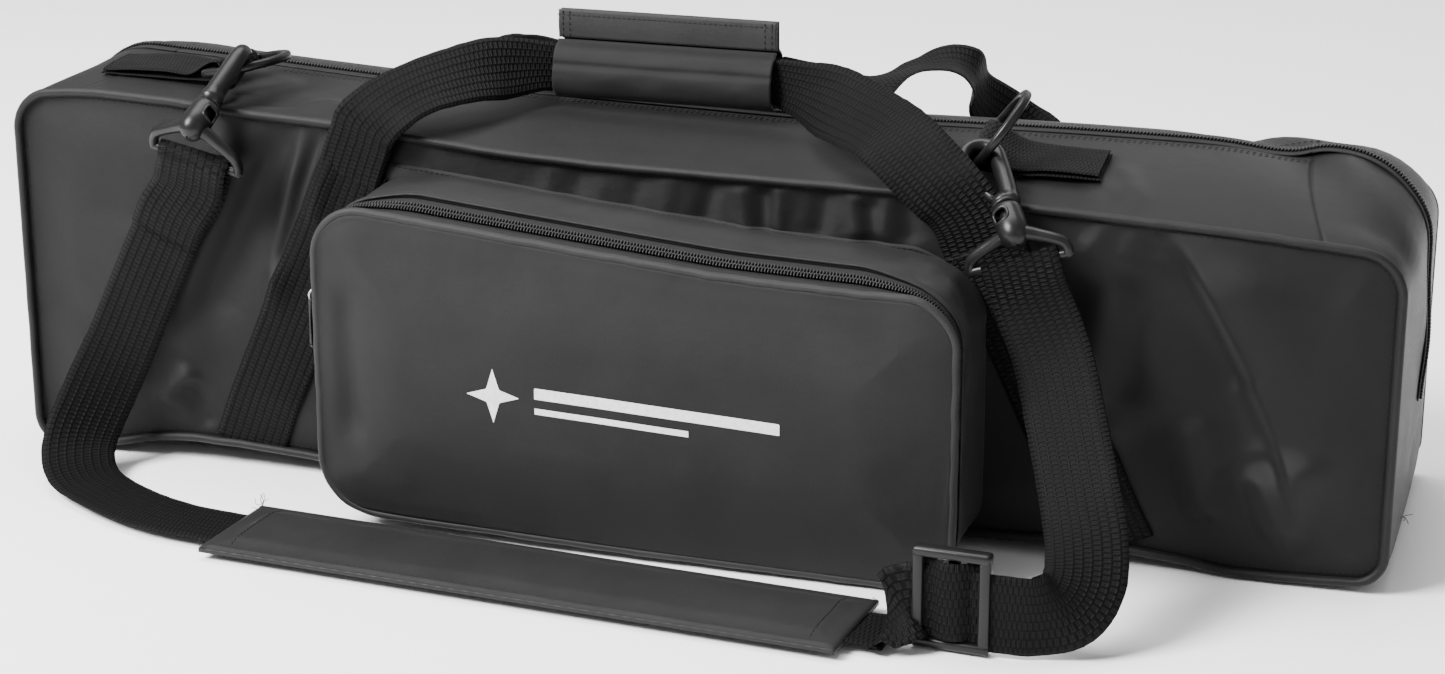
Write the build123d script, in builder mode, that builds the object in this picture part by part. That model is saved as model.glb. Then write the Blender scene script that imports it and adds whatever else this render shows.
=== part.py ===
from build123d import *
import os
from math import cos, sin, pi, sqrt, radians

# Telescope carry case: soft zipped bag, front pocket, twin carry handles and shoulder strap.
# Millimetres, +X to the right along the bag, -Y towards the pocket, +Z up, z = 0 under the base.
os.makedirs("parts", exist_ok=True)

# ---- driving dimensions ----
BAG_L = 700.0          # length of the main compartment
BAG_D = 165.0          # front panel to back panel
H_LEFT, H_RIGHT = 192.0, 163.0    # height of the front seam at the two ends (the right end sags)
C_LEFT, C_RIGHT = 198.0, 187.0    # height of the crest along the zip
B_LEFT, B_RIGHT = 168.0, 158.0    # height of the back seam; the top falls away behind the zip
WALL = 4.0             # padded fabric
R_TOP, R_BOT = 26.0, 16.0         # end corner radii of the panels
ARCH = [(-1.0, 0.0), (-0.55, 0.7), (0.0, 1.0), (0.55, 0.7), (1.0, 0.0)]
WEB = 38.0             # webbing width
WEB_T = 1.6            # webbing thickness
POCKET = (-155.0, 157.0)          # pocket sides
POCKET_BOT = (10.0, 4.0)
POCKET_TOP = (161.0, 141.0)
POCKET_FRONT = -148.0
POCKET_WALL = 3.0
POCKET_R = 24.0
FLAP_Z = 70.0          # the pocket panel folds forward above this height
TOP_X = 296.0          # the opening part of the top reaches to +-TOP_X
ZIP_HALF = 8.0         # half width of the main zip with its tape
GRIP = (-76.0, 37.0)   # grip wrap, left and right ends
HALF = BAG_D / 2


def h_front(x):
    return H_LEFT + (H_RIGHT - H_LEFT) * (x + BAG_L / 2) / BAG_L


def h_crest(x):
    return C_LEFT + (C_RIGHT - C_LEFT) * (x + BAG_L / 2) / BAG_L


def h_back(x):
    return B_LEFT + (B_RIGHT - B_LEFT) * (x + BAG_L / 2) / BAG_L


def top_z(x, y):
    f = abs(y) / HALF
    k = 1.0 - 0.3 * f / 0.55 if f < 0.55 else 0.7 * (1.0 - f) / 0.45
    low = h_front(x) if y < 0 else h_back(x)
    return low + (h_crest(x) - low) * k


def xz_plane(y):
    return Plane(origin=(0, y, 0), x_dir=(1, 0, 0), z_dir=(0, -1, 0))


def rounded_outline(y, corners, radii):
    with BuildSketch(xz_plane(y)) as s:
        with BuildLine():
            Polyline(*corners, close=True)
        make_face()
        for (px, pz), r in zip(corners, radii):
            fillet(s.vertices().sort_by_distance((px, pz, 0))[0], r)
    return s.sketch


def bag_section(y, k, t):
    low_l, low_r = (H_LEFT, H_RIGHT) if y < 0 else (B_LEFT, B_RIGHT)
    hl = low_l + (C_LEFT - low_l) * k - t
    hr = low_r + (C_RIGHT - low_r) * k - t
    e = BAG_L / 2 - t
    pts = [(-e, t), (e, t), (e, hr), (-e, hl)]
    return rounded_outline(y, pts, [R_BOT - t, R_BOT - t, R_TOP - t, R_TOP - t])


def bag_solid(t):
    with BuildPart() as b:
        for f, k in ARCH:
            add(bag_section(f * (HALF - t), k, t))
        loft(ruled=True)
    return b.part


def box_between(a, b):
    size = [b[i] - a[i] for i in range(3)]
    return Solid.make_box(*size, Plane(origin=a))


def slice_of(solid, a, b):
    with BuildPart() as s:
        add(solid)
        add(box_between(a, b), mode=Mode.INTERSECT)
    return s.part


def vec(p):
    return Vector(*p)


def rod(a, b, r):
    a, b = vec(a), vec(b)
    return Solid.make_cylinder(r, (b - a).length, Plane(origin=a, z_dir=(b - a)))


def ball(p, r):
    return Solid.make_sphere(r, Plane(origin=p), -90, 90, 360)


def ribbon(stations, width=WEB, thick=WEB_T, shift=0.0):
    """A strip of webbing: each station is (centre, direction across the width)."""
    centres = [vec(c) for c, w in stations]
    rings = []
    for i, (c, w) in enumerate(stations):
        a = centres[max(i - 1, 0)]
        b = centres[min(i + 1, len(centres) - 1)]
        t = (b - a).normalized()
        w = vec(w)
        w = (w - t * w.dot(t)).normalized()
        n = t.cross(w).normalized()
        o = centres[i] + n * shift
        h, d = w * (width / 2), n * (thick / 2)
        rings.append([o - h - d, o + h - d, o + h + d, o - h + d])
    faces = []

    def tri(p, q, r):
        faces.append(Face(Wire.make_polygon([p, q, r], close=True)))

    for a, b in zip(rings[:-1], rings[1:]):
        for j in range(4):
            k = (j + 1) % 4
            tri(a[j], a[k], b[k])
            tri(a[j], b[k], b[j])
    for e in (rings[0], rings[-1]):
        tri(e[0], e[1], e[2])
        tri(e[0], e[2], e[3])
    s = Solid(Shell(faces))
    return s if s.volume > 0 else Solid(Shell([-f for f in faces]))


def edge_ring(y0, y1, corners, radii, w):
    """A closed piping strip of width w lying outside the given outline, from y0 towards -Y to y1."""
    shifts = [(-1, -1), (1, -1), (1, 1), (-1, 1)]
    big = [(px + w * sx_, pz + w * sz_) for (px, pz), (sx_, sz_) in zip(corners, shifts)]
    with BuildPart() as outer:
        add(rounded_outline(y0, big, [r + w for r in radii]))
        extrude(amount=y0 - y1, dir=(0, -1, 0))
    with BuildPart() as inner:
        add(rounded_outline(y0 + 1, corners, radii))
        extrude(amount=y0 - y1 + 2, dir=(0, -1, 0))
    return outer.part - inner.part


def save(builder, name):
    builder.part.label = name
    export_step(builder.part, "parts/" + name + ".step")


def save_solid(solid, name):
    with BuildPart() as b:
        if isinstance(solid, (list, tuple)):
            for s in solid:
                add(s)
        else:
            add(solid)
    save(b, name)


# ---- main compartment ----
shell = bag_solid(0.0) - bag_solid(WALL)
FAR = 500.0
fy = -HALF + WALL
zh = ZIP_HALF
save_solid(slice_of(shell, (-FAR, -HALF - 1, -1), (FAR, fy, FAR)), "front_panel")
save_solid(slice_of(shell, (-FAR, -fy, -1), (FAR, HALF + 1, FAR)), "back_panel")
ring = slice_of(shell, (-FAR, fy, -1), (FAR, -fy, FAR))
save_solid(slice_of(ring, (-TOP_X, -FAR, -1), (TOP_X, FAR, 60)), "bottom_gusset")
save_solid(slice_of(ring, (-TOP_X, -FAR, 60), (TOP_X, -zh, FAR)), "top_front_gusset")
save_solid(slice_of(ring, (-TOP_X + 0.4, zh, 60), (TOP_X - 0.4, -fy - 0.4, FAR)), "top_rear_gusset")
save_solid(slice_of(ring, (-TOP_X, -zh, 60), (TOP_X, -0.4, FAR)), "main_zip_front")
save_solid(slice_of(ring, (-TOP_X + 0.4, 0.4, 60), (TOP_X - 0.4, zh, FAR)), "main_zip_rear")
ZIP_LOW = 70.0         # the zip runs on round both ends down to this height
for side, name in ((-1, "left"), (1, "right")):
    a, b = (-FAR, -TOP_X) if side < 0 else (TOP_X, FAR)
    end = slice_of(ring, (a, -FAR, -1), (b, FAR, FAR))
    with BuildPart() as g:
        add(end)
        add(box_between((a, -zh, ZIP_LOW), (b, zh, FAR)), mode=Mode.SUBTRACT)
    save(g, name + "_end_gusset")
    save_solid(slice_of(end, (a, -zh, ZIP_LOW), (b, zh, FAR)), name + "_end_zip")

BEAD = 4.2             # piping strip round the edge of the front and back panels
e = BAG_L / 2 - BEAD - 0.1
q = BEAD + 0.1
pipe_r = [R_BOT - q, R_BOT - q, R_TOP - q, R_TOP - q]
for y, hl, hr, name in ((-HALF - 0.05, H_LEFT, H_RIGHT, "front_piping"),
                        (HALF + 4.05, B_LEFT, B_RIGHT, "back_piping")):
    pipe_pts = [(-e, q), (e, q), (e, hr - q), (-e, hl - q)]
    save_solid(edge_ring(y, y - 4.0, pipe_pts, pipe_r, BEAD), name)

# ---- main zip slider, parked on the left end ----
sx = -BAG_L / 2
with BuildPart() as main_zip_slider:
    add(box_between((sx - 5.4, -5.0, 96), (sx - 0.4, 5.0, 110)))
    add(box_between((sx - 8.6, -1.6, 98), (sx - 5.4, 1.6, 108)))
    add(box_between((sx - 7.2, -3.0, 100), (sx - 5.4, 3.0, 103)), mode=Mode.SUBTRACT)
save(main_zip_slider, "main_zip_slider")
with BuildPart() as main_zip_pull:
    add(box_between((sx - 12.2, -4.0, 62), (sx - 10.0, 4.0, 95)))
    add(box_between((sx - 12.2, 1.9, 94), (sx - 6.0, 4.0, 100.6)))
    add(box_between((sx - 12.2, -4.0, 94), (sx - 6.0, -1.9, 100.6)))
save(main_zip_pull, "main_zip_pull")


# ---- pocket ----
def pocket_section(y, t):
    (x0, x1), (b0, b1), (t0, t1) = POCKET, POCKET_BOT, POCKET_TOP
    pts = [(x0 + t, b0 + t), (x1 - t, b1 + t), (x1 - t, t1 - t), (x0 + t, t0 - t)]
    return rounded_outline(y, pts, [POCKET_R - t] * 4)


def pocket_ring(y0, y1, t0, t1):
    with BuildPart() as b:
        add(pocket_section(y0, t0))
        extrude(amount=y0 - y1, dir=(0, -1, 0))
    with BuildPart() as c:
        add(pocket_section(y0 + 1, t1))
        extrude(amount=y0 - y1 + 2, dir=(0, -1, 0))
    return b.part - c.part


def above(solid, z):
    return slice_of(solid, (-FAR, -FAR, z), (FAR, FAR, FAR))


def below(solid, z):
    return slice_of(solid, (-FAR, -FAR, -50), (FAR, FAR, z))


Y_ZIP = -136.0         # centre line of the pocket's zip
Y_PAN = POCKET_FRONT + POCKET_WALL
save_solid(pocket_ring(-HALF, Y_ZIP + 6, 0, POCKET_WALL), "pocket_gusset")
rear_band = pocket_ring(Y_ZIP + 6, Y_ZIP + 0.4, 0.6, POCKET_WALL)
front_band = pocket_ring(Y_ZIP - 0.4, Y_PAN, 0.6, POCKET_WALL)
with BuildPart() as face:
    add(pocket_section(Y_PAN, 0.4))
    extrude(amount=POCKET_WALL, dir=(0, -1, 0))
panel = face.part
save_solid(rear_band, "pocket_zip_rear_tape")
save_solid(above(front_band, FLAP_Z + 0.4), "pocket_zip_front_tape")
save_solid(below(front_band, FLAP_Z), "pocket_lower_gusset")
save_solid(above(panel, FLAP_Z + 0.4), "pocket_flap_panel")
save_solid(below(panel, FLAP_Z), "pocket_lower_panel")
(px0, px1), (pb0, pb1), (pt0, pt1) = POCKET, POCKET_BOT, POCKET_TOP
g = 0.1
pts = [(px0 - g, pb0 - g), (px1 + g, pb1 - g), (px1 + g, pt1 + g), (px0 - g, pt0 + g)]
pipe = edge_ring(POCKET_FRONT + 4, POCKET_FRONT - 0.4, pts, [POCKET_R] * 4, 3.6)
save_solid(above(pipe, FLAP_Z + 0.4), "pocket_flap_piping")
save_solid(below(pipe, FLAP_Z), "pocket_lower_piping")

qx, qz = POCKET[0], 117.0
with BuildPart() as pocket_zip_slider:
    add(box_between((qx - 4.0, Y_ZIP - 4.5, qz), (qx - 0.4, Y_ZIP + 4.5, qz + 11)))
    add(box_between((qx - 6.6, Y_ZIP - 1.3, qz + 1.5), (qx - 4.0, Y_ZIP + 1.3, qz + 9.5)))
    add(box_between((qx - 5.5, Y_ZIP - 3, qz + 3.5), (qx - 4.0, Y_ZIP + 3, qz + 6)), mode=Mode.SUBTRACT)
save(pocket_zip_slider, "pocket_zip_slider")
with BuildPart() as pocket_zip_pull:
    add(box_between((qx - 9.4, Y_ZIP - 3.4, qz - 30), (qx - 7.6, Y_ZIP + 3.4, qz - 2)))
    add(box_between((qx - 9.4, Y_ZIP + 1.6, qz - 3), (qx - 4.5, Y_ZIP + 3.4, qz + 3.4)))
    add(box_between((qx - 9.4, Y_ZIP - 3.4, qz - 3), (qx - 4.5, Y_ZIP - 1.6, qz + 3.4)))
save(pocket_zip_pull, "pocket_zip_pull")

# ---- carry handles: sewn webbing bands, free legs, grip ----
for s, name in ((-1, "left"), (1, "right")):
    cx = -2.0
    low, high = cx + s * 226.0, cx + s * 158.0
    for d, face_name in ((-1, "front"), (1, "back")):
        y = d * (HALF + WEB_T / 2 + 0.05)
        z_top = (h_front(high) if d < 0 else h_back(high)) - 22.0
        run = [((low, y, 10.0), (1, 0, 0.46 * s)), ((high, y, z_top), (1, 0, 0.46 * s))]
        band = ribbon(run)
        with BuildPart() as b:
            add(band)
            add(box_between((-FAR, -FAR, -50), (FAR, FAR, 5.0)), mode=Mode.SUBTRACT)
            if d < 0:
                top = POCKET_TOP[0] if s < 0 else POCKET_TOP[1]
                cut = ((POCKET[0] - 0.4, -FAR, -5), (POCKET[1] + 0.4, 0, top + 0.4))
                add(box_between(*cut), mode=Mode.SUBTRACT)
        save(b, face_name + "_" + name + "_band")

GY0, GY1, GZ0, GZ1 = -33.0, -9.0, 194.0, 222.0
GRIP_TOP = 237.0
gx0, gx1 = GRIP
gm = (GY0 + GY1) / 2
front_web_y, rear_web_y = gm - 4.0, gm + 4.0
web_z = 208.0


def slant(s):
    return (1, 0, 0.46 * s)


fl = [((-158, -87.4, h_front(-158) - 11), slant(-1)), ((-152, -91.5, h_front(-150) + 4), (1, -0.1, -0.4)),
      ((-132, -76, 203), (0.75, -0.45, -0.55)), ((-104, -45, 209), (0.3, -0.5, -0.8)),
      ((gx0 - 3.4, front_web_y, web_z), (0, 0, -1))]
fr = [((150, -87.4, h_front(150) - 10), slant(1)), ((134, -89.5, h_front(134) + 4), (1, 0.1, 0.4)),
      ((104, -74, 199), (0.75, 0.45, 0.55)), ((80, -48, 203), (0.3, 0.5, 0.8)),
      ((gx1 + 3.4, front_web_y, web_z), (0, 0, 1))]
rl = [((-160, 88.6, h_back(-160) - 20), slant(-1)), ((-152, 93, h_back(-152) + 4), (1, 0.1, -0.4)),
      ((-138, 74, 191), (0.6, 0.7, -0.4)), ((-118, 38, 203), (0.2, 0.9, -0.35)),
      ((-96, 8, 206), (0.05, 0.75, -0.65)),
      ((gx0 - 3.4, rear_web_y, web_z), (0, 0, -1))]
rr = [((150, 88.6, h_back(150) - 20), slant(1)), ((142, 92, h_back(142) + 7), (1, 0.1, 0.3)),
      ((123, 75, 187), (0.3, 0.93, 0.12)), ((118, 56, 201), (0.15, 0.97, 0.08)), ((108, 43, 209), (0.08, 1, 0.04)),
      ((94, 30, 209), (0, 1, 0.05)), ((76, 14, 203), (0.05, 0.95, 0.25)), ((58, 0, 203), (0.1, 0.6, 0.75)),
      ((gx1 + 4.5, rear_web_y + 1, web_z + 1), (0, 0.1, 0.99))]
for run, name in ((fl, "front_left"), (fr, "front_right"), (rl, "rear_left"), (rr, "rear_right")):
    save_solid(ribbon(run, width=28.0), name + "_handle_leg")
for y, name in ((front_web_y, "front_handle_web"), (rear_web_y, "rear_handle_web")):
    save_solid(box_between((gx0 - 1.6, y - 1.6, 197), (gx1 + 1.6, y + 1.6, 219)), name)
with BuildPart() as grip_wrap:
    with BuildSketch(Plane.YZ.offset(gx0)):
        with Locations((gm, (GZ0 + GZ1) / 2)):
            RectangleRounded(GY1 - GY0, GZ1 - GZ0, 9.0)
            RectangleRounded(GY1 - GY0 - 4, GZ1 - GZ0 - 4, 7.0, mode=Mode.SUBTRACT)
        with Locations((gm + 1.3, (GZ1 + GRIP_TOP) / 2 - 0.5)):
            Rectangle(2.0, GRIP_TOP - GZ1 + 1.0)
    extrude(amount=gx1 - gx0)
save(grip_wrap, "grip_wrap")
with BuildPart() as grip_flap:
    add(box_between((gx0, gm - 2.0, GZ1 + 0.6), (gx1, gm - 0.2, GRIP_TOP)))
save(grip_flap, "grip_flap")


# ---- rings and their tabs ----
def d_ring(centre, along, apex, half=21.0, reach=31.0, r=2.2):
    c, b, a = vec(centre), vec(along).normalized(), vec(apex)
    a = (a - b * a.dot(b)).normalized()
    pts = [c - b * half, c + b * half]
    n = 10
    for i in range(n + 1):
        t = pi * i / n
        pts.append(c + a * (reach - half + half * sin(t)) + b * (half * cos(t)))
    pieces = []
    for i, q in enumerate(pts):
        nxt = pts[(i + 1) % len(pts)]
        pieces.append(rod(tuple(q), tuple(nxt), r))
        pieces.append(ball(tuple(q), r))
    with BuildPart() as ring_part:
        for s in pieces:
            add(s)
    return ring_part


LR_C, LR_B, LR_A = (-246.0, -45.0, 201.5), (0.25, 0.97, 0.02), (0.86, -0.22, 0.20)
RR_C, RR_B, RR_A = (148.7, -50.2, 191.6), (0.05, 0.96, 0.26), (0.60, -0.19, 0.77)
left_d_ring = d_ring(LR_C, LR_B, LR_A)
save(left_d_ring, "left_d_ring")
right_d_ring = d_ring(RR_C, RR_B, RR_A)
save(right_d_ring, "right_d_ring")


def ring_tab(c, b, cut_x, name):
    """Webbing folded round the ring's bar, its two plies sewn to the top."""
    c, b = vec(c), vec(b).normalized()
    s = 1 if cut_x > c.X else -1
    away = Vector(s, 0, 0)
    up = Vector(0, 0, 1)
    r = 4.6
    loop = []
    for i in range(9):
        t = radians(-100 + 200 * i / 8)
        loop.append((c - away * (r * cos(t)) + up * (r * sin(t)), b))
    x1 = c.X + s * 14
    end_w = (0, 1, (top_z(cut_x, -30) - top_z(cut_x, -60)) / 30)
    lo = [(Vector(cut_x, c.Y, top_z(cut_x, c.Y) + 1.5), end_w),
          (Vector(x1, c.Y, max(top_z(x1, c.Y) + 2.2, c.Z - 8)), b)]
    hi = [(Vector(x1, c.Y, max(top_z(x1, c.Y) + 2.2, c.Z - 8) + 3.2), b),
          (Vector(cut_x - s * 1.0, c.Y, top_z(cut_x, c.Y) + 4.0), end_w)]
    run = [(tuple(q), w if isinstance(w, tuple) else tuple(w)) for q, w in lo + loop + hi]
    save_solid(ribbon(run, width=31.0), name)


ring_tab(LR_C, LR_B, -312.0, "left_ring_tab")
ring_tab(RR_C, RR_B, 206.0, "right_ring_tab")


# ---- swivel snap hooks ----
def snap_hook(top, u, v, bar, bar_dir, side):
    """top: centre of the barrel's upper face; u: up the shaft; v: from the shaft to the gate."""
    top, u, v = vec(top), vec(u).normalized(), vec(v)
    v = (v - u * v.dot(u)).normalized()
    bar, bd = vec(bar), vec(bar_dir).normalized()
    low = top - u * 15.0

    def at(w, k):
        return tuple(top + u * w + v * k)

    with BuildPart() as base:
        add(rod(tuple(low), tuple(top), 7.4))
        add(ball(tuple(low), 7.4))
        add(rod(tuple(low + u * 3), tuple(top + u), 4.2), mode=Mode.SUBTRACT)
        for k in (-1, 1):
            end = bar + bd * (k * 23.5)
            knee = end + (low - bar) * 0.35 - bd * (k * 1.0)
            add(rod(tuple(low + bd * (k * 5)), tuple(knee), 2.6))
            add(ball(tuple(knee), 2.6))
            add(rod(tuple(knee), tuple(end), 2.6))
            add(ball(tuple(end), 2.6))
        add(rod(tuple(bar - bd * 23.5), tuple(bar + bd * 23.5), 2.6))
    save(base, side + "_hook_base")
    with BuildPart() as body:
        add(rod(at(-9, 0), at(1.0, 0), 3.5))
        add(rod(at(0.6, 0), at(4.5, 0), 6.2))
        add(rod(at(4, -2.5), at(33, -4.0), 3.6))
        add(ball(at(4, -2.5), 3.6))
        path = [(33, -4.0)]
        for i in range(1, 7):
            t = pi * i / 6
            path.append((33 + 8.0 * sin(t), 4.0 - 8.0 * cos(t)))
        path.append((28, 12.0))
        for (w0, k0), (w1, k1) in zip(path[:-1], path[1:]):
            add(rod(at(w0, k0), at(w1, k1), 3.4))
            add(ball(at(w0, k0), 3.4))
        add(ball(at(28, 12.0), 3.4))
    save(body, side + "_hook_body")
    with BuildPart() as gate:
        add(rod(at(7.0, 4.6), at(22.4, 10.4), 1.7))
        add(ball(at(7.0, 4.6), 1.7))
        add(ball(at(22.4, 10.4), 1.7))
    save(gate, side + "_hook_gate")


L_TOP, L_U, L_V = (-234.5, -96.0, 192.9), (0.10, 0.86, 0.50), (-0.45, 0.40, -0.80)
L_BAR, L_BD = (-240.0, -100.5, 166.5), (0.97, 0.0, -0.24)
R_TOP_P, R_U, R_V = (168.0, -94.0, 173.0), (-0.42, 0.74, 0.52), (-0.88, -0.42, -0.15)
R_BAR, R_BD = (177.0, -104.0, 151.0), (0.96, 0.0, 0.28)
snap_hook(L_TOP, L_U, L_V, L_BAR, L_BD, "left")
snap_hook(R_TOP_P, R_U, R_V, R_BAR, R_BD, "right")

# ---- shoulder strap ----
PAD_Z = 4.4
run = [((-241, -101.0, 161.8), (0.97, 0, -0.24)), ((-246, -98, 148), (0.99, 0, -0.05)),
       ((-259, -95, 130), (0.99, 0.0, 0.1)), ((-274, -95, 100), (0.97, 0.05, 0.2)),
       ((-289, -98, 66), (0.95, 0.15, 0.24)), ((-301, -105, 38), (0.85, 0.45, 0.2)),
       ((-306, -118, 17), (0.72, 0.68, 0.1)), ((-296, -135, 6.5), (0.55, 0.83, 0.02)),
       ((-274, -151, PAD_Z), (0.35, 0.93, 0)), ((-240, -168, PAD_Z), (0.17, 0.98, 0)),
       ((-200, -176.3, PAD_Z), (0.077, 0.997, 0)), ((136, -202.1, PAD_Z), (0.077, 0.997, 0)),
       ((142, -202.6, 8), (0.05, 0.86, 0.5)), ((147, -202.8, 14), (0.0, 0.5, 0.86)),
       ((152, -203.0, 20.5), (0, 0.05, 1)), ((160, -203.6, 20.5), (0, 0, 1)),
       ((198, -206.0, 20.5), (0, 0, 1)), ((212, -203.5, 20.5), (0.1, 0, 1)),
       ((223, -198, 24), (-0.55, 0.02, 0.83)), ((228, -189, 33), (-0.85, 0.05, 0.52)),
       ((226, -176, 46), (-0.97, 0.0, 0.1)), ((219, -160, 62), (-0.97, 0, -0.22)),
       ((208, -138, 86), (-0.96, 0, -0.25)), ((196, -117, 112), (-0.96, 0, -0.27)),
       ((184, -107, 134), (-0.96, 0, -0.28)), ((179, -105.2, 146.4), (-0.96, 0, -0.28))]


def smooth(stations, n=3):
    """Catmull-Rom subdivision of a ribbon's stations."""
    out = []
    m = len(stations)
    for i in range(m - 1):
        four = [stations[min(max(i + j, 0), m - 1)] for j in (-1, 0, 1, 2)]
        for k in range(n):
            t = k / n
            b = (-t + 2 * t * t - t ** 3, 2 - 5 * t * t + 3 * t ** 3,
                 t + 4 * t * t - 3 * t ** 3, t ** 3 - t * t)
            out.append(tuple(tuple(sum(f * four[j][part][axis] for j, f in enumerate(b)) / 2
                                   for axis in range(3)) for part in (0, 1)))
    return out + [stations[-1]]


bend = smooth(run[15:])
save_solid(ribbon(run[:15] + bend), "strap_web")
back = [st for st in bend if st[0][0] > 193.0 or st[0][2] > 60]
save_solid(ribbon(back, shift=-3.8), "strap_return_ply")

ang = -4.4
c0 = Vector(-32.0, -189.2, 0)
pad_loc = Pos(c0.X, c0.Y, PAD_Z) * Rot(0, 0, ang)
with BuildPart() as shoulder_pad:
    with Locations(pad_loc):
        Box(322, 60, 7.2)
        Box(340, 41, 2.6, mode=Mode.SUBTRACT)
save(shoulder_pad, "shoulder_pad")

glide_loc = Pos(172.0, -204.1, 24.4) * Rot(0, 0, -4.2)
with BuildPart() as tri_glide:
    with Locations(glide_loc):
        Box(36, 8.4, 47)
        Box(26, 20, 39.4, mode=Mode.SUBTRACT)
        Box(50, 5.6, 39.4, mode=Mode.SUBTRACT)
    with Locations(glide_loc * Pos(0, 3.6, 0)):
        Box(6, 1.2, 44)
save(tri_glide, "tri_glide")
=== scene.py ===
import math

import bpy
import numpy as np
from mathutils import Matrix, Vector, noise


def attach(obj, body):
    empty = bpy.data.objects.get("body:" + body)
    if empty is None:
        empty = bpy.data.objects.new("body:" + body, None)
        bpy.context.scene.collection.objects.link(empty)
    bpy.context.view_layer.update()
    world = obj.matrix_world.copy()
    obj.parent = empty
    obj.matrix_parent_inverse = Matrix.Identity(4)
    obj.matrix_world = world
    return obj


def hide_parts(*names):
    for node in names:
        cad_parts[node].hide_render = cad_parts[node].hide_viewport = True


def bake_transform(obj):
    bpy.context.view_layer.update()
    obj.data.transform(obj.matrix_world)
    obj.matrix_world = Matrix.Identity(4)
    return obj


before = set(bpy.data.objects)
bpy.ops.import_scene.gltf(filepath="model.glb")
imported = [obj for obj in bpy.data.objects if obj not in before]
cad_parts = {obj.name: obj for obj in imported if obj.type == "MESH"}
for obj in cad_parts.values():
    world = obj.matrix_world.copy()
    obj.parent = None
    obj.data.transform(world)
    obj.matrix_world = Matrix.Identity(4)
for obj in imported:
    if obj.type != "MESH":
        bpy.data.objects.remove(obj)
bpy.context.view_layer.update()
scene = bpy.context.scene
MM = 0.001
FRONT, REAR, UP = (0.0, -1.0, 0.0), (0.0, 1.0, 0.0), (0.0, 0.0, 1.0)
rng = np.random.default_rng(7)

# Shapes are worked out in millimetres, in the frame of the CAD model, and scaled to metres in mesh().

# ---------------------------------------------------------------- camera, light, floor
AZ, EL, DIST = math.radians(17.39), math.radians(17.99), 1.551
TARGET = Vector((0.0022, 0.0, 0.0661))
SENSOR, FOCAL, IMAGE_WIDTH = 36.0, 3018.4, 1445.0       # FOCAL is in the image's own units
back = Vector((math.sin(AZ) * math.cos(EL), -math.cos(AZ) * math.cos(EL), math.sin(EL)))
cam_data = bpy.data.cameras.new("camera")
cam_data.sensor_width = SENSOR
cam_data.lens = SENSOR * FOCAL / IMAGE_WIDTH
cam = bpy.data.objects.new("camera", cam_data)
scene.collection.objects.link(cam)
cam.rotation_mode = "QUATERNION"
cam.location = TARGET + back * DIST
cam.rotation_quaternion = (-back).to_track_quat("-Z", "Y")
cam_data.clip_start, cam_data.clip_end = 0.01, 50.0
scene.camera = cam

world = bpy.data.worlds.new("studio")
scene.world = world
world.use_nodes = True
world.node_tree.nodes["Background"].inputs[0].default_value = (1.0, 1.0, 1.0, 1.0)
world.node_tree.nodes["Background"].inputs[1].default_value = 0.48


def area_light(name, at, aim, size, power, size_y=None):
    data = bpy.data.lights.new(name, "AREA")
    data.shape = "RECTANGLE"
    data.size, data.size_y = size, size_y or size
    data.energy = power
    ob = bpy.data.objects.new(name, data)
    scene.collection.objects.link(ob)
    ob.location = at
    ob.rotation_mode = "QUATERNION"
    ob.rotation_quaternion = (Vector(aim) - Vector(at)).to_track_quat("-Z", "Y")
    return ob


area_light("key", (-1.25, -1.25, 1.7), (-0.15, 0, 0.1), 1.0, 185)
area_light("top", (-0.3, 0.4, 2.1), (-0.05, 0, 0.1), 1.8, 58, 1.2)
area_light("fill", (2.0, -1.2, 1.0), (0.1, 0, 0.1), 1.2, 4)
area_light("rim", (0.6, 1.8, 1.1), (0, 0, 0.1), 1.2, 5)


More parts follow.
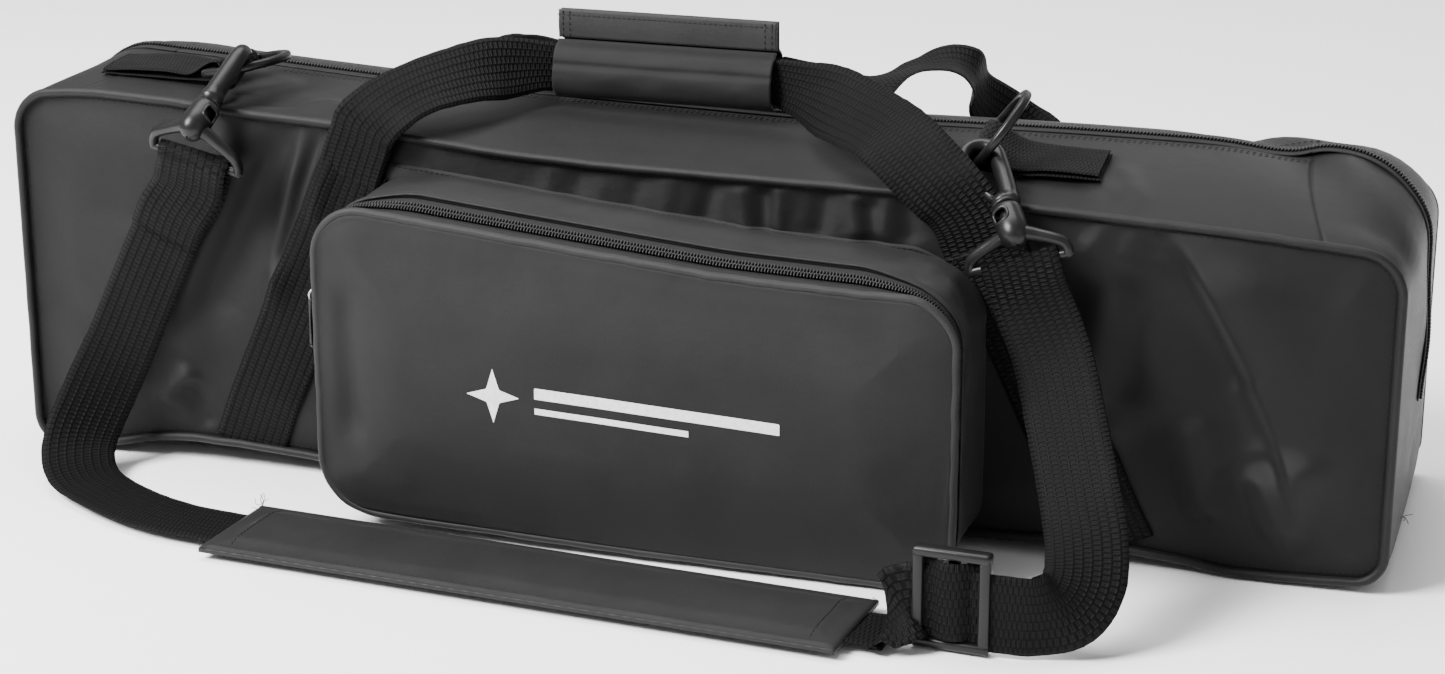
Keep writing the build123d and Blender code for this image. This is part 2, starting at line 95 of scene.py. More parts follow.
# ---------------------------------------------------------------- materials
class Nodes:
    """A short way to write a material's node tree."""

    def __init__(self, name):
        self.mat = bpy.data.materials.new(name)
        self.mat.use_nodes = True
        self.tree = self.mat.node_tree
        self.shader = self.tree.nodes["Principled BSDF"]

    def node(self, kind, **props):
        n = self.tree.nodes.new(kind)
        for k, v in props.items():
            setattr(n, k, v)
        return n

    def link(self, a, b):
        self.tree.links.new(a, b)

    def feed(self, socket, value):
        if isinstance(value, bpy.types.NodeSocket):
            self.link(value, socket)
        else:
            socket.default_value = value

    def math(self, op, a, b=0.0, c=0.0):
        n = self.node("ShaderNodeMath", operation=op)
        for s, v in zip(n.inputs, (a, b, c)):
            self.feed(s, v)
        return n.outputs[0]

    def add(self, a, b):
        return self.math("ADD", a, b)

    def sub(self, a, b):
        return self.math("SUBTRACT", a, b)

    def mul(self, a, b):
        return self.math("MULTIPLY", a, b)

    def mul_add(self, a, b, c):
        return self.math("MULTIPLY_ADD", a, b, c)

    def noise(self, vector, scale, detail=3.0, rough=0.55):
        n = self.node("ShaderNodeTexNoise")
        self.link(vector, n.inputs["Vector"])
        n.inputs["Scale"].default_value = scale
        n.inputs["Detail"].default_value = detail
        n.inputs["Roughness"].default_value = rough
        return n.outputs["Fac"]

    def ramp(self, fac, stops):
        n = self.node("ShaderNodeValToRGB")
        self.link(fac, n.inputs[0])
        el = n.color_ramp.elements
        while len(el) < len(stops):
            el.new(0.5)
        for e, (p, c) in zip(el, stops):
            e.position = p
            e.color = (*c, 1.0) if hasattr(c, "__len__") else (c, c, c, 1.0)
        return n.outputs[0]

    def mix(self, fac, a, b):
        n = self.node("ShaderNodeMix", data_type="RGBA")
        self.feed(n.inputs[0], fac)
        for s, v in ((n.inputs[6], a), (n.inputs[7], b)):
            self.feed(s, v if isinstance(v, bpy.types.NodeSocket) else (*v, 1.0))
        return n.outputs[2]

    def bump(self, height, distance, strength=1.0, below=None):
        n = self.node("ShaderNodeBump")
        n.inputs["Strength"].default_value = strength
        n.inputs["Distance"].default_value = distance
        self.link(height, n.inputs["Height"])
        if below is not None:
            self.link(below, n.inputs["Normal"])
        return n.outputs[0]

    def set(self, **values):
        for k, v in values.items():
            self.feed(self.shader.inputs[k.replace("_", " ")], v)

    def weave(self):
        """The cloth's own coordinates in metres, across and along, kept on the mesh."""
        n = self.node("ShaderNodeAttribute", attribute_name="weave")
        s = self.node("ShaderNodeSeparateXYZ")
        self.link(n.outputs["Vector"], s.inputs[0])
        return n.outputs["Vector"], s.outputs[0], s.outputs[1]

    def place(self):
        return self.node("ShaderNodeTexCoord").outputs["Object"]


def fabric(name, dark, light, rough, pitch=0.00075, depth=0.00012, sheen=0.03, spec=0.16):
    """Coated twill: fine diagonal ribs, a slubbed thread colour and soft mottling, with painted shade in the
    ribs' troughs and a painted highlight on convex edges and fold crests.
    """
    m = Nodes(name)
    vec, u, v = m.weave()
    place = m.place()
    diag = m.add(u, v)
    rib = m.math("SINE", m.mul(diag, 2 * math.pi / pitch))
    thread = m.math("SINE", m.mul(m.sub(u, v), 2 * math.pi / (pitch * 0.9)))
    cloth = m.mul_add(rib, 0.6, m.mul(thread, 0.4))
    cloth01 = m.mul_add(cloth, 0.5, 0.5)
    mottle = m.noise(place, 26.0, 4.0)
    slub = m.noise(vec, 900.0, 2.0)
    # The tone mixes real mottling and slub with painted shade: the troughs of the twill ribs are painted
    # darker.
    tone = m.mul_add(mottle, 0.45, m.mul_add(slub, 0.35, m.mul(cloth01, 0.3)))
    colour = m.ramp(tone, [(0.2, dark), (0.85, light)])
    # Painted highlight: convex edges, piping and fold crests are painted lighter in place of the satin's
    # sheen.
    painted_edge_highlight = m.node("ShaderNodeNewGeometry").outputs["Pointiness"]
    edge = m.ramp(painted_edge_highlight, [(0.53, 0.0), (0.62, 1.0)])
    colour = m.mix(m.mul(edge, 0.25), colour, tuple(min(1, c * 1.9) for c in light))
    rr = m.mul_add(mottle, 0.16, m.mul_add(cloth01, 0.08, rough - 0.12))
    m.set(Base_Color=colour, Roughness=rr)
    m.set(Specular_IOR_Level=spec, Sheen_Weight=sheen, Sheen_Roughness=0.45)
    soft = m.bump(m.noise(place, 60.0, 3.0), 0.0012, 0.5)
    m.set(Normal=m.bump(cloth01, depth, 0.9, soft))
    return m.mat


def webbing(name, dark, light, column=0.0042, pitch=0.0023):
    """Woven webbing: columns of short paired bars with narrow lanes between them; the lanes are painted dark
    as shade and the bars' tops lighter.
    """
    m = Nodes(name)
    vec, u, v = m.weave()
    place = m.place()
    uc = m.math("DIVIDE", m.add(u, column * 100.5), column)
    cell = m.math("FLOOR", uc)
    fu = m.sub(uc, cell)
    odd = m.math("MODULO", cell, 2.0)
    vc = m.mul_add(odd, 0.5, m.math("DIVIDE", m.add(v, 10.0), pitch))
    fv = m.sub(vc, m.math("FLOOR", vc))
    across = m.math("ABSOLUTE", m.sub(fu, 0.5))
    along = m.math("ABSOLUTE", m.sub(fv, 0.5))
    lane = m.ramp(across, [(0.30, 1.0), (0.44, 0.0)])
    bar = m.ramp(along, [(0.20, 1.0), (0.40, 0.0)])
    split = m.ramp(along, [(0.0, 0.55), (0.09, 1.0)])
    height = m.mul(m.mul(lane, bar), split)
    fuzz = m.noise(place, 1500.0, 2.0)
    # Painted shade: the colour follows the weave's height, so the lanes between the bars are painted dark.
    tone = m.mul_add(height, 0.65, m.mul(fuzz, 0.35))
    colour = m.ramp(tone, [(0.12, dark), (0.9, light)])
    m.set(Base_Color=colour, Roughness=m.mul_add(fuzz, 0.2, 0.5))
    m.set(Specular_IOR_Level=0.08, Sheen_Weight=0.01, Sheen_Roughness=0.5)
    m.set(Normal=m.bump(height, 0.0005, 1.0, m.bump(fuzz, 0.0002, 0.4)))
    return m.mat


def plastic(name, colour, rough=0.34, grain=0.25):
    m = Nodes(name)
    place = m.place()
    n1, n2 = m.noise(place, 90.0, 4.0), m.noise(place, 900.0, 3.0)
    # Painted highlight: the convex edges of the moulding are painted lighter.
    painted_edge_highlight = m.ramp(m.node("ShaderNodeNewGeometry").outputs["Pointiness"], [(0.52, 0.0), (0.6, 1.0)])
    base = m.mix(n1, colour, tuple(c * 1.5 for c in colour))
    m.set(Base_Color=m.mix(m.mul(painted_edge_highlight, 0.3), base, (0.02, 0.02, 0.021)),
          Roughness=m.mul_add(n1, 0.14, m.mul_add(n2, 0.08, rough - 0.1)))
    m.set(Specular_IOR_Level=0.25)
    m.set(Normal=m.bump(n2, 0.00012, grain, m.bump(n1, 0.0004, 0.3)))
    return m.mat


def metal(name, colour, rough):
    m = Nodes(name)
    place = m.place()
    n = m.noise(place, 700.0, 4.0)
    m.set(Base_Color=m.mix(n, colour, tuple(c * 0.75 for c in colour)),
          Roughness=m.mul_add(n, 0.2, rough))
    m.set(Metallic=1.0)
    m.set(Normal=m.bump(n, 0.0002, 0.4))
    return m.mat


def ink(name):
    m = Nodes(name)
    vec, u, v = m.weave()
    place = m.place()
    rib = m.math("SINE", m.mul(m.add(u, v), 2 * math.pi / 0.00075))
    n = m.noise(place, 400.0, 3.0)
    m.set(Base_Color=m.ramp(n, [(0.25, (0.62, 0.62, 0.62)), (0.7, (0.82, 0.82, 0.82))]),
          Roughness=m.mul_add(n, 0.15, 0.5))
    m.set(Normal=m.bump(rib, 0.00008, 0.6))
    return m.mat


SHELL = fabric("shell_cloth", (0.0025, 0.0025, 0.0027), (0.009, 0.009, 0.0095), 0.42, spec=0.14)
POCKET = fabric("pocket_cloth", (0.0058, 0.0058, 0.0061), (0.018, 0.018, 0.0188), 0.50, spec=0.13)
PIPING = fabric("piping_cloth", (0.0035, 0.0035, 0.0038), (0.012, 0.012, 0.0125), 0.45, depth=0.00008)
POCKET_PIPING = fabric("pocket_piping_cloth", (0.008, 0.008, 0.0083), (0.024, 0.024, 0.025), 0.5,
                       depth=0.00008)
GRIP = fabric("grip_cloth", (0.008, 0.008, 0.0084), (0.027, 0.027, 0.028), 0.46)
PAD = fabric("pad_cloth", (0.005, 0.005, 0.0053), (0.016, 0.016, 0.0167), 0.48)
LINING = fabric("lining_cloth", (0.004, 0.004, 0.0042), (0.010, 0.010, 0.0105), 0.6)
TAPE = fabric("zip_tape_cloth", (0.003, 0.003, 0.0032), (0.011, 0.011, 0.0115), 0.6, pitch=0.0011,
              depth=0.0002)
WEBBING = webbing("webbing_weave", (0.0004, 0.0004, 0.00043), (0.0055, 0.0055, 0.0058))
FINE_WEB = webbing("fine_webbing_weave", (0.001, 0.001, 0.00105), (0.009, 0.009, 0.0094), 0.0031, 0.0019)
PLASTIC = plastic("satin_plastic", (0.004, 0.004, 0.0043), 0.33)
COIL = plastic("coil_plastic", (0.008, 0.008, 0.0084), 0.34, 0.1)
THREAD = plastic("thread", (0.0015, 0.0015, 0.0016), 0.6, 0.4)
SLIDER = metal("slider_plating", (0.55, 0.55, 0.56), 0.28)
PULL = plastic("pull_enamel", (0.006, 0.006, 0.0065), 0.26, 0.1)
INK = ink("printed_mark")


# ---------------------------------------------------------------- mesh helpers
def place_on(ob, body=None, replaces=()):
    if replaces:
        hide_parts(*([replaces] if isinstance(replaces, str) else replaces))
    if body:
        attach(ob, body)
    return ob


def mesh(name, verts, faces, material, body=None, replaces=(), weave=None, smooth=True):
    me = bpy.data.meshes.new(name)
    me.from_pydata((np.asarray(verts, float) * MM).tolist(), [], [list(map(int, f)) for f in faces])
    me.materials.append(material)
    a = me.attributes.new("weave", "FLOAT_VECTOR", "POINT")
    w = np.asarray(verts, float)[:, [0, 2, 1]] * MM if weave is None else np.asarray(weave, float)
    a.data.foreach_set("vector", w.astype(np.float32).ravel())
    me.polygons.foreach_set("use_smooth", [smooth] * len(me.polygons))
    me.update()
    ob = bpy.data.objects.new(name, me)
    scene.collection.objects.link(ob)
    return place_on(ob, body, replaces)


def arc_lengths(P, axis):
    d = np.linalg.norm(np.diff(P, axis=axis), axis=2)
    mid = np.median(d, axis=1 - axis)
    return np.concatenate([[0], np.cumsum(mid)])


def quads(nu, nv, wrap_u=False, wrap_v=False, base=0):
    iu = np.arange(nu if wrap_u else nu - 1)
    iv = np.arange(nv if wrap_v else nv - 1)
    a, b = np.meshgrid(iu, iv, indexing="ij")
    a2, b2 = (a + 1) % nu, (b + 1) % nv
    return (np.stack([a * nv + b, a2 * nv + b, a2 * nv + b2, a * nv + b2], -1).reshape(-1, 4) + base)


def closed_ends(rows, sides):
    """Faces of a tube of rows by sides points with a face over each end."""
    return quads(rows, sides, False, True).tolist() + [list(range(sides))[::-1],
                                                       [(rows - 1) * sides + i for i in range(sides)]]


def grid(name, P, material, body=None, replaces=(), out=None, thick=0.0, wrap_u=False,
         lining=None, weave=None):
    """A cloth surface from a (nu, nv, 3) array.

    out is roughly which way its face looks; thick gives it an inner ply.
    """
    nu, nv = P.shape[:2]
    F = quads(nu, nv, wrap_u)
    if out is not None:
        i, j = nu // 2, nv // 2
        n = np.cross(P[min(i + 1, nu - 1), j] - P[i - 1, j], P[i, min(j + 1, nv - 1)] - P[i, j - 1])
        if np.dot(n, out) < 0:
            F = F[:, ::-1]
    if weave is None:
        su, sv = arc_lengths(P, 0), arc_lengths(P, 1)
        W = np.zeros((nu, nv, 3))
        W[..., 0], W[..., 1] = su[:, None] * MM, sv[None, :] * MM
    else:
        W = weave
    ob = mesh(name, P.reshape(-1, 3), F, material, None, (), W.reshape(-1, 3))
    if thick:
        s = ob.modifiers.new("ply", "SOLIDIFY")
        s.thickness, s.offset = thick * MM, -1.0
        if lining is not None:
            ob.data.materials.append(lining)
            s.material_offset = 1
            s.material_offset_rim = 0
    return place_on(ob, body, replaces)


def catmull(points, n=8):
    """A smooth line through the given points."""
    p = np.asarray(points, float)
    q = np.vstack([2 * p[0] - p[1], p, 2 * p[-1] - p[-2]])
    out = []
    for i in range(1, len(q) - 2):
        for t in np.linspace(0, 1, n, endpoint=False):
            out.append(0.5 * ((2 * q[i]) + (q[i + 1] - q[i - 1]) * t
                              + (2 * q[i - 1] - 5 * q[i] + 4 * q[i + 1] - q[i + 2]) * t * t
                              + (3 * q[i] - q[i - 1] - 3 * q[i + 1] + q[i + 2]) * t ** 3))
    out.append(q[-2])
    return np.array(out)


def lengths(p):
    """How far along the line each point is."""
    return np.concatenate([[0], np.cumsum(np.linalg.norm(np.diff(p, axis=0), axis=1))])


def even(points, step, closed=False):
    """The same line with points a step apart."""
    p = np.asarray(points, float)
    if closed:
        p = np.vstack([p, p[:1]])
    s = lengths(p)
    n = max(2, int(round(s[-1] / step)) + 1)
    t = np.linspace(0, s[-1], n)
    q = np.stack([np.interp(t, s, p[:, k]) for k in range(p.shape[1])], -1)
    return q[:-1] if closed else q


def unit(v):
    v = np.asarray(v, float)
    return v / np.maximum(np.linalg.norm(v, axis=-1, keepdims=True), 1e-9)


def wander(*at):
    """Smooth noise at a point in space, about -1 to 1."""
    return noise.noise(Vector(at))


def rows_of(direction, n):
    """The same direction n times over."""
    return np.tile(direction, (n, 1))


def tangents(p, closed=False):
    if closed:
        return unit(np.roll(p, -1, 0) - np.roll(p, 1, 0))
    t = np.empty_like(p)
    t[1:-1], t[0], t[-1] = p[2:] - p[:-2], p[1] - p[0], p[-1] - p[-2]
    return unit(t)


def carried(p, first=None, closed=False):
    """Frames carried along a line without twisting."""
    t = tangents(p, closed)
    n = np.array(first if first is not None else (0.0, 0.0, 1.0), float)
    if abs(np.dot(unit(n), t[0])) > 0.95:
        n = np.array((1.0, 0.0, 0.0))
    rows = []
    for k in range(len(p)):
        n = unit(n - t[k] * np.dot(n, t[k]))
        rows.append(n)
    n = np.array(rows)
    return t, n, np.cross(t, n)


def loop_tube(p, radius, sides, first=None):
    """Vertices and faces of a round tube along a closed line."""
    _, n, b = carried(p, first, True)
    a = np.linspace(0, 2 * math.pi, sides, endpoint=False)
    V = p[:, None] + (n[:, None] * np.cos(a)[None, :, None] + b[:, None]
                      * np.sin(a)[None, :, None]) * radius
    return V.reshape(-1, 3), quads(len(p), sides, True, True)[:, ::-1]


def tube(name, pts, radius, material, body, replaces=(), sides=10, first=None):
    """A piece made of one closed round tube."""
    p = np.asarray(pts, float)
    V, F = loop_tube(p, radius, sides, first)
    W = np.zeros((len(p), sides, 3))
    W[..., 0] = np.linspace(0, 2 * math.pi, sides, endpoint=False) * radius * MM
    W[..., 1] = lengths(p)[:, None] * MM
    return mesh(name, V, F, material, body, replaces, W.reshape(-1, 3))


def web(name, stations, width=38.0, thick=1.5, material=None, body=None, slot="webbing", replaces=(), n=10,
        step=3.0, wave=0.35, shift=0.0, seed=0, cut=None):
    """A strip of webbing along stations of (centre, direction across). Its edges are rounded selvages."""
    c = catmull([s[0] for s in stations], n)
    w = catmull([s[1] for s in stations], n)
    both = even(np.hstack([c, unit(w) * 12.0]), step)
    c, w = both[:, :3], both[:, 3:]
    t = tangents(c)
    w = unit(w - t * np.sum(w * t, axis=1, keepdims=True))
    nrm = np.cross(t, w)
    s = lengths(c)
    m = 15
    u = np.linspace(-1, 1, m)
    prof = [(x, 1.0 - 0.75 * max(0.0, (abs(x) - 0.93) / 0.07) ** 2) for x in u]
    prof = np.array(prof + [(x, -z) for x, z in prof[::-1]])
    h = width / 2
    lift = np.array([[wave * (wander(a / 26.0 + seed * 7.3, x * 1.1, seed)
                              + 0.5 * wander(a / 9.0, x * 2.3,
                                             seed + 4.0)) for x in prof[:, 0]] for a in s])
    edge = np.array([[0.35 * wander(a / 5.0, 3.0 * np.sign(x), seed + 1.0) * (abs(x) > 0.95)
                      for x in prof[:, 0]] for a in s])
    P = (c[:, None] + w[:, None] * (prof[None, :, 0] * h + edge)[..., None]
         + nrm[:, None] * (prof[None, :, 1] * thick / 2 + lift + shift)[..., None])
    if cut is not None:
        P = cut(P)
    k = len(prof)
    F = closed_ends(len(c), k)
    W = np.zeros(P.shape)
    W[..., 0] = prof[None, :, 0] * h * MM
    W[..., 1] = s[:, None] * MM
    F = [f[::-1] for f in F]
    return mesh(name, P.reshape(-1, 3), F, material or WEBBING, body, replaces, W.reshape(-1, 3))


def rounded_box(cx, cy, cz, sx, sy, sz, r, seg=3):
    """Vertices and faces of a box with rounded edges, centred at the point."""
    verts, faces, index = [], [], {}
    h = np.array([sx, sy, sz]) / 2.0
    r = min(r, *h)

    def vert(p):
        key = tuple(np.round(p, 5))
        if key not in index:
            q = np.array(p) * h
            core = np.clip(q, -(h - r), h - r)
            d = q - core
            length = np.linalg.norm(d)
            q = core + d / length * r if length > 1e-9 else q
            index[key] = len(verts)
            verts.append(q + np.array([cx, cy, cz]))
        return index[key]

    # knots sit on the flats' ends, so that the edges come out round
    def knots(k):
        e = (h[k] - r) / h[k]
        a = np.linspace(0, 1, seg + 1)
        left = -1 + (1 - e) * (1 - np.cos(a * math.pi / 2))
        return np.concatenate([left, -left[::-1]])

    for ax in range(3):
        b, c = (ax + 1) % 3, (ax + 2) % 3
        kb, kc = knots(b), knots(c)
        for sgn in (-1, 1):
            for i in range(len(kb) - 1):
                for j in range(len(kc) - 1):
                    q = []
                    for x, y in ((kb[i], kc[j]), (kb[i + 1], kc[j]), (kb[i + 1], kc[j + 1]),
                                 (kb[i], kc[j + 1])):
                        p = [0, 0, 0]
                        p[ax], p[b], p[c] = sgn, x, y
                        q.append(vert(p))
                    if len(set(q)) >= 3:
                        faces.append(q if sgn > 0 else q[::-1])
    return np.array(verts), faces


def pieces_mesh(name, parts, material, body=None, replaces=()):
    """One mesh of several closed parts, each (vertices, faces)."""
    V, F, b = [], [], 0
    for v, f in parts:
        V.append(v)
        F += [[i + b for i in q] for q in f]
        b += len(v)
    return mesh(name, np.vstack(V), F, material, body, replaces)


def repeat(name, shape, places, material, body=None, replaces=()):
    """One mesh of many copies of a shape. Each place is (origin, x axis, y axis, z axis)."""
    V, F = shape
    V = np.asarray(V, float)
    allv, allf = [], []
    for k, (o, x, y, z) in enumerate(places):
        R = np.stack([x, y, z], 0)
        allv.append(V @ R + o)
        allf += [[i + k * len(V) for i in f] for f in F]
    return mesh(name, np.vstack(allv), allf, material, body, replaces)


STITCH = (np.array([(-1.0, 0, 0), (-0.6, -0.26, 0), (-0.6, 0, 0.26), (-0.6, 0.26, 0), (-0.6, 0, -0.2),
                    (0.6, -0.26, 0), (0.6, 0, 0.26), (0.6, 0.26, 0), (0.6, 0, -0.2), (1.0, 0, 0)]),
          [(0, 1, 2), (0, 2, 3), (0, 3, 4), (0, 4, 1), (1, 5, 6, 2), (2, 6, 7, 3), (3, 7, 8, 4),
           (4, 8, 5, 1),
           (9, 6, 5), (9, 7, 6), (9, 8, 7), (9, 5, 8)])


def seam(name, lines, body=None, pitch=3.0, size=1.0):
    """Rows of stitches. Each line is (points, normals) lying on the cloth."""
    places = []
    for pts, nrm in lines:
        q = even(np.hstack([np.asarray(pts, float), unit(nrm) * 10]), pitch)
        p, n = q[:, :3], unit(q[:, 3:])
        t = tangents(p)
        for i in range(len(p)):
            x = unit(t[i] + rng.normal(0, 0.03, 3))
            y = unit(np.cross(n[i], x))
            z = np.cross(x, y)
            places.append((p[i] + z * 0.12, x * size * 1.15, y * size, z * size))
    return repeat(name, STITCH, places, THREAD, body)


def ease(t):
    t = np.clip(t, 0, 1)
    return t * t * (3 - 2 * t)


def lump(x, z, x0, z0, x1, z1, w, h, skew=1.0, bow=0.0):
    """A fold along a line: h high, w wide, its far side skew times as wide."""
    ux, uz = x1 - x0, z1 - z0
    L2 = ux * ux + uz * uz
    t = ((x - x0) * ux + (z - z0) * uz) / L2
    d = ((x - x0) * uz - (z - z0) * ux) / math.sqrt(L2) - bow * 4 * t * (1 - t)
    ww = np.where(d > 0, w * skew, w)
    return h * np.exp(-(d / ww) ** 2) * ease((t + 0.18) / 0.3) * ease((1.18 - t) / 0.3)


def smooth_curve(points, sigma=9.0):
    xs = np.arange(-400.0, 401.0, 1.0)
    p = np.array(points, float)
    ys = np.interp(xs, p[:, 0], p[:, 1])
    k = np.exp(-0.5 * (np.arange(-40, 41) / sigma) ** 2)
    ys = np.convolve(np.pad(ys, 40, mode="edge"), k / k.sum(), "valid")
    return lambda x: np.interp(x, xs, ys)


def rough(x, z, scale, seed, amount):
    """Soft unevenness of a cloth surface."""
    X, Z = np.broadcast_arrays(x, z)
    flat = [wander(a / scale, b / scale, seed) for a, b in zip(X.ravel(), Z.ravel())]
    return amount * np.array(flat).reshape(X.shape)


# ---------------------------------------------------------------- the bag's shell
HALF, END = 82.5, 350.0
seam_z = smooth_curve([(-350, 190), (-324, 193), (-301, 194), (-257, 192), (-224, 189), (-169, 187),
                       (-129, 183), (-86, 179),
                       (-35, 177), (30, 176.5), (114, 176), (183, 173), (257, 170), (311, 167), (334, 165),
                       (350, 163)])
crest_z = smooth_curve([(-350, 197), (-287, 197), (-241, 194), (-173, 190), (-95, 189), (58, 186),
                        (119, 188), (186, 189),
                        (289, 189), (320, 188), (350, 185)])
back_seam_z = smooth_curve([(-350, 167), (-300, 168), (-200, 165.5), (-80, 164), (40, 163), (160, 160),
                            (260, 159), (350, 158)])
floor_z = smooth_curve([(-350, 1), (-330, 0.2), (-305, 3), (-280, 9), (-262, 11), (-227, 10), (-194, 8),
                        (-150, 5), (0, 3),
                        (150, 6), (190, 8), (229, 7), (254, 5), (278, 1), (310, 2), (350, 4)], 7.0)
END_TOP_R, END_BOT_R = 20.0, 15.0


def top_at(x, y):
    k = 1 - (np.abs(y) / HALF) ** 2.0
    low = np.where(np.asarray(y) < 0, seam_z(x), back_seam_z(x))
    z = low + (crest_z(x) - low) * k
    inner = ease((HALF - np.abs(y)) / 20.0)
    f = y < 0
    z = z + inner * (
        lump(x, y, 246, 55, 340, -74, 10, -3.6, 2.0) + lump(x, y, 268, 45, 338, -52, 13, 1.5)
        + lump(x, y, 326, -8, 338, -70, 9, -1.6) + lump(x, y, 196, -50, 214, -74, 6, 2.2)
        + lump(x, y, 212, -46, 226, -74, 6, 1.8) + lump(x, y, -214, -98, -180, -60, 10, 3.5) * f
        + lump(x, y, -240, -80, -200, -66, 8, -2.5) * f + lump(x, y, -60, -60, 130, -62, 14, -1.6)
        + lump(x, y, -325, -20, -290, 60, 16, 1.2))
    return z


def corner_drop(x, r):
    """How far the outline falls short of the full height near the two ends."""
    d = np.clip(np.abs(x) - (END - r), 0, r)
    return r - np.sqrt(np.maximum(r * r - d * d, 0))


def crown_r(y):
    """The radius of the top corner at each end, larger at the crest."""
    k = 1 - (np.abs(y) / HALF) ** 2
    return END_TOP_R + 16.0 * k


def outline(y, n_top=280, n_side=34, n_arc=10, n_bot=200):
    """Points round the bag in the plane y, as columns of (x, z), starting at the top left of the top run."""
    r = float(crown_r(y))
    arcs = np.linspace(0, math.pi / 2, n_arc + 1)
    e = END - r
    xt = np.linspace(-e, e, n_top)
    run = [np.stack([xt, top_at(xt, y)], -1)]
    xa = e + r * np.sin(arcs[1:])
    run.append(np.stack([xa, top_at(xa, y) - (r - r * np.cos(arcs[1:]))], -1))
    b = END_BOT_R
    zt, zb = run[-1][-1, 1], float(floor_z(END)) * edge_low(y) + b
    s = np.linspace(0, 1, n_side + 1)[1:]
    run.append(np.stack([np.full(n_side, END), zt + (zb - zt) * s], -1))
    xa = END - b + b * np.cos(arcs[1:])
    run.append(np.stack([xa, floor_z(xa) * edge_low(y) + b - b * np.sin(arcs[1:])], -1))
    xb = np.linspace(END - b, -END + b, n_bot)[1:]
    run.append(np.stack([xb, floor_z(xb) * edge_low(y)], -1))
    xa = -END + b - b * np.sin(arcs[1:])
    run.append(np.stack([xa, floor_z(xa) * edge_low(y) + b - b * np.cos(arcs[1:])], -1))
    zt = float(top_at(-END, y)) - r
    zb = run[-1][-1, 1]
    run.append(np.stack([np.full(n_side, -END), zb + (zt - zb) * s], -1))
    xa = -e - r * np.cos(arcs[1:-1])
    run.append(np.stack([xa, top_at(xa, y) - (r - r * np.sin(arcs[1:-1]))], -1))
    return np.vstack(run)


def edge_low(y):
    """The floor edge lifts only near the front and back panels."""
    return ease((np.abs(y) - HALF * 0.72) / (HALF * 0.28))


def end_bulge(x, y, z):
    """The end panels swell a little and carry a soft fold."""
    side = np.sign(x)
    k = ease((np.abs(x) - END + 12) / 12.0) * (1 - (np.abs(y) / HALF) ** 2)
    up = ease(z / 40.0) * ease((200 - z) / 60.0)
    fold_ = lump(y, z, -60, 160, 40, 60, 16, 2.0) + lump(y, z, -30, 30, 50, 50, 12, -1.6)
    return side * k * up * (2.2 + fold_)


TOP_X, ZIP_LOW = 296.0, 70.0
ys = HALF * np.sin(np.linspace(-math.pi / 2, math.pi / 2, 45))
O = np.array([outline(y) for y in ys])          # (ny, n, 2)
ring = np.empty((O.shape[1], len(ys), 3))
ring[..., 0], ring[..., 1], ring[..., 2] = O[..., 0].T, ys[None, :], O[..., 1].T
ring[..., 0] += end_bulge(ring[..., 0], ring[..., 1], ring[..., 2])
N_TOP, END_STEPS = 280, 34      # points of the ring over the top, and down each end as far as the zip
top_run = ring[:N_TOP]
mid = len(ys) // 2
i0 = int(np.searchsorted(top_run[:, mid, 0], -TOP_X))
i1 = int(np.searchsorted(top_run[:, mid, 0], TOP_X))
front_half = top_run[i0:i1, : mid + 1]
rear_half = top_run[i0:i1, mid:].copy()
rear_half[:, 0, 1] += 0.5
rest = np.concatenate([ring[i1 - 1:], ring[: i0 + 1]])
grid("top_front_cloth", front_half, SHELL, "bag", "top_front_gusset", (0, 0, 1), 3.0,
     lining=LINING)
grid("top_rear_cloth", rear_half, SHELL, "top_flap", "top_rear_gusset", (0, 0, 1), 3.0,
     lining=LINING)
grid("ends_and_base_cloth", rest, SHELL, "bag",
     ("bottom_gusset", "left_end_gusset", "right_end_gusset"),
     (0, 0, -1), 3.0, lining=LINING)


def panel_edges(x, back_side=False):
    """Lowest and highest point of the front and back panels at x."""
    lo = floor_z(x) + corner_drop(x, END_BOT_R)
    hi = (back_seam_z if back_side else seam_z)(x) - corner_drop(x, END_TOP_R)
    return lo, hi


# Folds of the front, each (x0, z0, x1, z1, width, height, ...) as lump() takes them.
FOLDS = [
    # right: the long diagonal ridge with a hollow on its left, and the folds at its foot
    (246, 168, 309, 46, 36, 7.6, 0.18, -5), (238, 150, 294, 62, 18, -5.0, 0.9),
    (309, 64, 306, 22, 13, 2.6, 0.8), (290, 54, 304, 14, 9, 3.2),
    (274, 52, 292, 18, 10, -2.6), (259, 74, 267, 30, 9, 2.6, 1.4),
    (282, 96, 291, 62, 9, 2.2), (217, 140, 206, 84, 12, 3.0),
    (232, 150, 226, 88, 10, -2.2), (205, 156, 216, 169, 5, 2.0),
    (227, 170, 223, 152, 4.5, 1.7), (237, 170, 236, 154, 4.5, -2.0),
    (215, 171, 204, 152, 5, 1.5), (225, 62, 262, 18, 13, -2.4),
    (330, 150, 334, 40, 11, 1.6),
    # left: folds that fall from the seam between the strap and the handle
    (-198, 184, -250, 82, 16, -4.6, 0.5), (-188, 184, -208, 96, 8, 3.6, 0.7),
    (-179, 184, -204, 112, 5, -3.6), (-222, 178, -262, 60, 16, 2.6),
    (-170, 186, -184, 140, 6, 2.2), (-262, 40, -250, 20, 7, -3.5),
    (-270, 30, -256, 50, 7, 3.0), (-300, 60, -340, 80, 16, -2.4),
    (-330, 30, -350, 12, 9, -2.0), (-290, 120, -300, 40, 30, 2.0),
    (-160, 100, -176, 20, 8, 1.4),
]
# Gathers above the pocket, each (x, z, height, lean).
GATHERS = [
    (-58, 164, 2.0, 4), (-44, 163, -2.2, 6), (-31, 158, 1.6, 8), (-13, 164, -2.4, 6), (3, 164, 2.2, 5),
    (24, 166, -2.2, 5), (38, 161, 2.0, -4), (48, 160, -2.6, -3), (57, 164, 2.2, 2), (79, 164, -2.2, 3),
    (93, 166, 2.4, -4), (99, 158, -2.6, -6), (110, 165, 1.8, 3), (118, 166, -2.0, -3)
]


